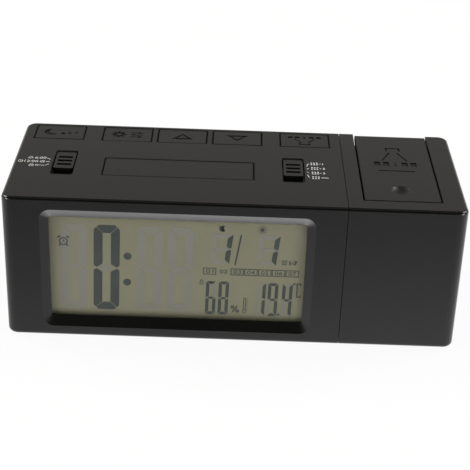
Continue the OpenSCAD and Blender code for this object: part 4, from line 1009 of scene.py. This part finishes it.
# %% Lathe
def spun(builder, profile, centre, axis, steps=48):
    """Spins (radius, distance) pairs, in millimetres, about an axis into a bmesh."""
    axis = Vector(axis)
    side = axis.orthogonal().normalized()
    third = axis.cross(side)
    angles = [2 * math.pi * k / steps for k in range(steps)]
    rings = []
    for radius, distance in profile:
        on_axis = Vector(centre) + axis * distance
        points = [on_axis + (side * math.cos(a) + third * math.sin(a)) * radius for a in angles]
        rings.append([builder.verts.new(p * MM) for p in (points if radius else [on_axis])])
    for low_ring, high_ring in zip(rings, rings[1:]):
        for k in range(steps):
            corners = [low_ring[i % len(low_ring)] for i in (k, k + 1)]
            corners += [high_ring[i % len(high_ring)] for i in (k + 1, k)]
            builder.faces.new(list(dict.fromkeys(corners)))


def box_mm(name):
    """The corners of a part's box, in millimetres."""
    low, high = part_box(name)
    return low / MM, high / MM


# %% [markdown]
# ## Battery cells
# An AAA cell is a steel can in a shrunk plastic sleeve. The sleeve is rolled
# over at both ends, the can shows bare inside that roll, and the positive end
# carries a raised button. The sleeve is a plain dark grey with a copper band at
# the positive end, and plus and minus signs near the ends. It is one material,
# which reads the distance along the cell.

# %% Cells
CELL_R, CELL_LEN, BUTTON_R, BUTTON, BAND = 5.25, 43.5, 1.9, 1.0, 8.0
END_ROLL = [(4.2, 0.1), (4.7, 0.0), (5.1, 0.12), (CELL_R, 0.45)]
GROOVE = [(CELL_R, 1.4), (CELL_R - 0.12, 1.8), (CELL_R, 2.2)]
SLEEVE = END_ROLL + GROOVE + [(r, CELL_LEN - d) for r, d in reversed(END_ROLL)]
CAN = [(0, 0.12), (3.6, 0.12), (4.1, 0.2), (4.9, 0.4), (4.9, CELL_LEN - 0.4), (4.1, CELL_LEN - 0.2)]
CAN += [(2.7, CELL_LEN - 0.2), (2.4, CELL_LEN), (BUTTON_R, CELL_LEN + 0.1)]
CAN += [(BUTTON_R, CELL_LEN + BUTTON - 0.25), (BUTTON_R - 0.25, CELL_LEN + BUTTON)]
CAN += [(0, CELL_LEN + BUTTON)]

low, high = box_mm("battery_cells")
middle = (low + high) / 2
pitch = (high.z - low.z) / 2 - CELL_R
shift = (high.x - low.x) / 2 - CELL_LEN / 2 - BUTTON
CELLS = []
for k, way in enumerate((1, -1, 1)):
    CELLS.append((way, Vector((middle.x + way * shift, middle.y, low.z + CELL_R + k * pitch))))


def sleeve_material(name, button_x, way):
    """Grey sleeve with a copper band over the length next to the button."""
    material, tree, shader = new_material(name)
    side = "GREATER_THAN" if way > 0 else "LESS_THAN"
    band = add(tree, "Math", (along(tree, "X"), (button_x - way * BAND) * MM), operation=side)
    dark, light = (
        add(tree, "Mix", {0: band, 6: grey, 7: copper}, 2, data_type="RGBA")
        for grey, copper in (("#2f3236", "#a5683f"), ("#383b40", "#b87a4d"))
    )
    grain = wander(tree, 1.2, 3)
    grade(shader, "Base Color", grain, dark, light)
    grade(shader, "Metallic", band, 0.0, 0.7)
    grade(shader, "Roughness", grain, 0.22, 0.34)
    return material


cell_builder = {1: bmesh.new(), -1: bmesh.new()}
can_builder = bmesh.new()
for way, spot in CELLS:
    start = spot - Vector((way * CELL_LEN / 2, 0, 0))
    spun(cell_builder[way], SLEEVE, start, (way, 0, 0))
    spun(can_builder, CAN, start, (way, 0, 0))
for way, builder in cell_builder.items():
    name = "cell_sleeves_right" if way > 0 else "cell_sleeves_left"
    button_x = middle.x + way * (shift + CELL_LEN / 2)
    finished(builder, name, sleeve_material(name, button_x, way), "case")
cans = finished(can_builder, "cell_cans", nickel, "case")
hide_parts("battery_cells")
print("cells at x", [round(spot.x, 1) for way, spot in CELLS])

# %% [markdown]
# ## Springs and threads
# A spring and a screw thread are both a wire wound on a path that climbs as it
# turns. So one Geometry Nodes tree does both: a spiral curve, swept by a small
# ring of points, moved and turned to its place. A round wire makes a spring and
# a three-cornered one a sharp thread. The tree runs once per copy and its
# results are kept as one plain mesh, without the modifier.


# %% Geometry Nodes helpers
def grown_tree(name, **sockets):
    """An empty tree with these kinds of inputs and one geometry output, and its inputs."""
    tree = bpy.data.node_groups.new(name, "GeometryNodeTree")
    tree.interface.new_socket("Geometry", in_out="OUTPUT", socket_type="NodeSocketGeometry")
    for kind, labels in {**sockets, "Material": ["Material"]}.items():
        for label in labels:
            tree.interface.new_socket(label, in_out="INPUT", socket_type="NodeSocket" + kind)
    return tree, tree.nodes.new("NodeGroupInput").outputs


def hand_out(tree, given, geometry):
    """Makes what has grown real, gives it its material and hands it to the output."""
    real = add(tree, "RealizeInstances", {"Geometry": geometry})
    coated = add(tree, "SetMaterial", {"Geometry": real, "Material": given["Material"]})
    feed(tree.nodes.new("NodeGroupOutput"), "Geometry", coated)


def grow(tree, name, copies, material, body):
    """Runs a tree once for each list of its inputs' values, and joins the results."""
    builder = bmesh.new()
    sockets = [item for item in tree.interface.items_tree if item.in_out == "INPUT"]
    for values in copies:
        holder = bpy.data.objects.new(name, bpy.data.meshes.new(name))
        bpy.context.scene.collection.objects.link(holder)
        modifier = holder.modifiers.new(name, "NODES")
        modifier.node_group = tree
        for socket, value in zip(sockets, (*values, material), strict=True):
            modifier[socket.identifier] = value
        bpy.context.view_layer.update()
        evaluated = holder.evaluated_get(bpy.context.evaluated_depsgraph_get())
        grown = bpy.data.meshes.new_from_object(evaluated)
        builder.from_mesh(grown)
        holder.modifiers.remove(modifier)
        bpy.data.objects.remove(holder)
        bpy.data.meshes.remove(grown)
    bmesh.ops.remove_doubles(builder, verts=builder.verts, dist=1e-7)
    return finished(builder, name, material, body)


# %% The coil tree
SPIRAL = ("Start Radius", "End Radius", "Height")
coil, given = grown_tree(
    "wound_wire",
    Float=("Turns", *SPIRAL, "Wire Radius"),
    Int=["Wire Corners"],
    Vector=("Place", "Turn"),
)
inputs = {"Resolution": 40, "Rotations": given["Turns"]} | {key: given[key] for key in SPIRAL}
path = add(coil, "CurveSpiral", inputs)
inputs = {"Resolution": given["Wire Corners"], "Radius": given["Wire Radius"]}
profile = add(coil, "CurvePrimitiveCircle", inputs, mode="RADIUS")
inputs = {"Curve": path, "Profile Curve": profile, "Fill Caps": True}
wire = add(coil, "CurveToMesh", inputs)
inputs = {"Geometry": wire, "Translation": given["Place"], "Rotation": given["Turn"]}
hand_out(coil, given, add(coil, "Transform", inputs))


def wound(turns, radii, height, wire_radius, corners, place, turn):
    """One winding: values for the tree's inputs, in their order. Lengths come in millimetres."""
    lengths = [length * MM for length in (*radii, height, wire_radius)]
    return turns, *lengths, corners, Vector(place) * MM, turn


# %% Battery springs
WIRE_R, SPRING_H, SPRING_TURNS, SPRING_RADII = 0.28, 4.0, 3.5, (3.6, 1.4)
springs_low, springs_high = box_mm("battery_springs")
spring_copies = []
for way, spot in CELLS:
    base = springs_low.x if way > 0 else springs_high.x
    place = (base + way * WIRE_R, spot.y, spot.z)
    quarter = (0, way * math.pi / 2, 0)
    height = SPRING_H - 2 * WIRE_R
    spring_copies.append(wound(SPRING_TURNS, SPRING_RADII, height, WIRE_R, 10, place, quarter))
springs = grow(coil, "battery_spring_wire", spring_copies, nickel, "case")
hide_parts("battery_springs")
print("springs:", len(spring_copies))

# %% Threads of the cover and projector screws
THREAD_LEN, THREAD_TURNS, THREAD_R, THREAD_DEPTH = 6.0, 6.0, 1.25, 0.22
SCREW_INSET, TIP = 2.6, 0.3


def thread(tip, turn):
    """A thread round a screw whose point is at tip; turn points +Z along the screw."""
    return wound(THREAD_TURNS, (THREAD_R, THREAD_R), THREAD_LEN, THREAD_DEPTH, 3, tip, turn)


low, high = box_mm("cover_screws")
threads = [
    thread((x, low.y + TIP, z), (-math.pi / 2, 0, 0))
    for x in (low.x + SCREW_INSET, high.x - SCREW_INSET)
    for z in (low.z + SCREW_INSET, high.z - SCREW_INSET)
]
low, high = box_mm("module_screws")
near_y, far_y = low.y + SCREW_INSET, high.y - SCREW_INSET
low_z, high_z = low.z + SCREW_INSET, high.z - SCREW_INSET
for y, z in ((near_y, low_z), (far_y, low_z), (near_y, high_z)):
    threads.append(thread((high.x - TIP, y, z), (0, -math.pi / 2, 0)))
grow(coil, "screw_threads", threads, zinc, "case")
print("threads:", len(threads))

# %% [markdown]
# ## What is soldered on
# Pads, chip parts and solder joints come in rows, so a second tree stands small
# rounded plates along a line: an outline with its corners rounded is filled,
# given thickness and placed at each point. Count, step, size and place are its
# inputs, and every row on the boards is one call.

# %% The row tree
row, given = grown_tree(
    "row_of_plates",
    Int=["Count"],
    Float=("Width", "Length", "Thickness", "Corner"),
    Vector=("Step", "Place", "Turn"),
)
inputs = {"Count": given["Count"], "Start Location": given["Place"], "Offset": given["Step"]}
line = add(row, "MeshLine", inputs, mode="OFFSET")
inputs = {"Width": given["Width"], "Height": given["Length"]}
outline = add(row, "CurvePrimitiveQuadrilateral", inputs, mode="RECTANGLE")
inputs = {"Curve": outline, "Count": 3, "Radius": given["Corner"]}
rounded = add(row, "FilletCurve", inputs, mode="POLY")
filled = add(row, "FillCurve", {"Curve": rounded}, mode="NGONS")
inputs = {"Mesh": filled, "Offset Scale": given["Thickness"], "Individual": False}
raised = add(row, "ExtrudeMesh", inputs, mode="FACES")
closed = add(row, "JoinGeometry", {"Geometry": raised})
feed(closed.node, "Geometry", add(row, "FlipFaces", {"Mesh": filled}))
inputs = {"Points": line, "Instance": closed, "Rotation": given["Turn"]}
hand_out(row, given, add(row, "InstanceOnPoints", inputs))


def plates(count, step, size, place, turn, corner):
    """One row: values for the tree's inputs, in their order. Lengths come in millimetres."""
    lengths = [length * MM for length in (*size, corner)]
    return count, *lengths, Vector(step) * MM, Vector(place) * MM, turn


# %% Rows on the main board
# The ribbon's joints, and chip capacitors with two ends each
solder, *_ = plated("solder_joint", "#cdced0", "#b2b4b6", 0.22)
ceramic_brown, *_ = mottled("capacitor_ceramic", 0.8, "#8a6a4a", "#a5835f", Roughness=0.45)
FACE_BACK, FACE_UP = (-math.pi / 2, 0, 0), (0, 0, 0)
BODY, END, ENDS_APART, CHIP_STEP = (1.0, 0.9, 0.5), (0.5, 0.95, 0.5), 1.5, (3.0, 0, 0)

board_y = box_mm("main_board")[1].y
ribbon_low, _ = box_mm("ribbon_cable")
chip_low, chip_high = box_mm("controller_chip")
joints = (ribbon_low.x + 1.0, board_y, ribbon_low.z - 1.2)
pads = [plates(12, (CONDUCTOR_MM, 0, 0), (0.8, 1.6, 0.25), joints, FACE_BACK, 0.35)]
chips = []
for z in (chip_high.z + 3.0, chip_low.z - 4.0):
    for x in (chip_low.x - 6, chip_low.x + 8):
        chips.append(plates(4, CHIP_STEP, BODY, (x, board_y, z), FACE_BACK, 0.1))
        for side in (-ENDS_APART / 2, ENDS_APART / 2):
            pads.append(plates(4, CHIP_STEP, END, (x + side, board_y, z), FACE_BACK, 0.12))

# %% Rows on the key board
# Four legs round each push switch, two at each side
LEG, LEG_STEP, LEG_SIDE, PLUNGER_IN = (1.0, 0.8, 0.22), 4.5, 3.5, 8.8
key_top = box_mm("key_board")[1].z
switch_spots = []
for name in KEYS:
    cap_low, cap_high = box_mm(name)
    switch_spots.append((cap_low + cap_high) / 2)
bar_low, bar_high = box_mm("snooze_bar")
for x in (bar_low.x + PLUNGER_IN, bar_high.x - PLUNGER_IN):
    switch_spots.append(Vector((x, (bar_low.y + bar_high.y) / 2, 0)))
for spot in switch_spots:
    for side in (-LEG_SIDE, LEG_SIDE):
        place = (spot.x + side, spot.y - LEG_STEP / 2, key_top)
        pads.append(plates(2, (0, LEG_STEP, 0), LEG, place, FACE_UP, 0.2))
grow(row, "solder_joints", pads, solder, "case")
grow(row, "chip_capacitors", chips, ceramic_brown, "case")
print("rows of pads:", len(pads))

# %% [markdown]
# ## Marks on the cells and the lamp case
# A cell has a plus at its button end and a minus at the other, printed on the
# sleeve. The face of the lamp case carries two curved arrows that say the ring
# round the lens turns, and two small screws hold the case together.

# %% Marks on the cells
ARM, BAR = 1.1, 0.22
cell_signs = []
for way, spot in CELLS:
    plus_u = spot.x + way * (CELL_LEN / 2 - 4)
    minus_u = spot.x - way * (CELL_LEN / 2 - 4.5)
    for u, half_u, half_v in ((plus_u, ARM, BAR), (plus_u, BAR, ARM), (minus_u, BAR, ARM)):
        cell_signs.append(rectangle(u - half_u, spot.z - half_v, u + half_u, spot.z + half_v))
sign_y = middle.y + CELL_R + 0.03
plate("cell_signs", cell_signs, "back", sign_y, 0.2, ink_white, "case")
print("signs on the cells:", len(cell_signs))

# %% Arrows and screws on the lamp case
ARROW_R, ARROW_LINE, HEAD_LEN, HEAD_HALF = 10.2, 0.35, 0.9, 0.6
PAN_HEAD = [(0, -0.55), (0.5, -0.55), (0.55, -0.25), (0.8, -0.25), (0.85, -0.55)]
PAN_HEAD += [(1.3, -0.45), (1.7, -0.1), (1.7, 0.3), (0, 0.3)]
case_low, case_high = box_mm("lamp_case")
barrel_low, barrel_high = box_mm("lens_barrel")
barrel = (barrel_low + barrel_high) / 2
arrows = []
for start, end in ((28, 52), (152, 128)):
    sweep = [Vector(p) for p in arc((barrel.x, barrel.z), ARROW_R, start, end, 8)]
    arrows += stroke(sweep, ARROW_LINE)
    for tip, back in ((sweep[0], sweep[2]), (sweep[-1], sweep[-3])):
        ahead = (tip - back).normalized()
        across = Vector((-ahead.y, ahead.x)) * HEAD_HALF
        arrows.append([tip + ahead * HEAD_LEN, tip + across, tip - across])
plate("focus_arrows", arrows, "front", case_low.y - 0.03, 0.05, ink_white, "flap")

builder = bmesh.new()
for y in (case_low.y + 6, case_high.y - 6):
    spun(builder, PAN_HEAD, (barrel.x, y, case_low.z), (0, 0, 1), 28)
finished(builder, "case_screws", zinc, "flap")
print("arrow outlines:", len(arrows))
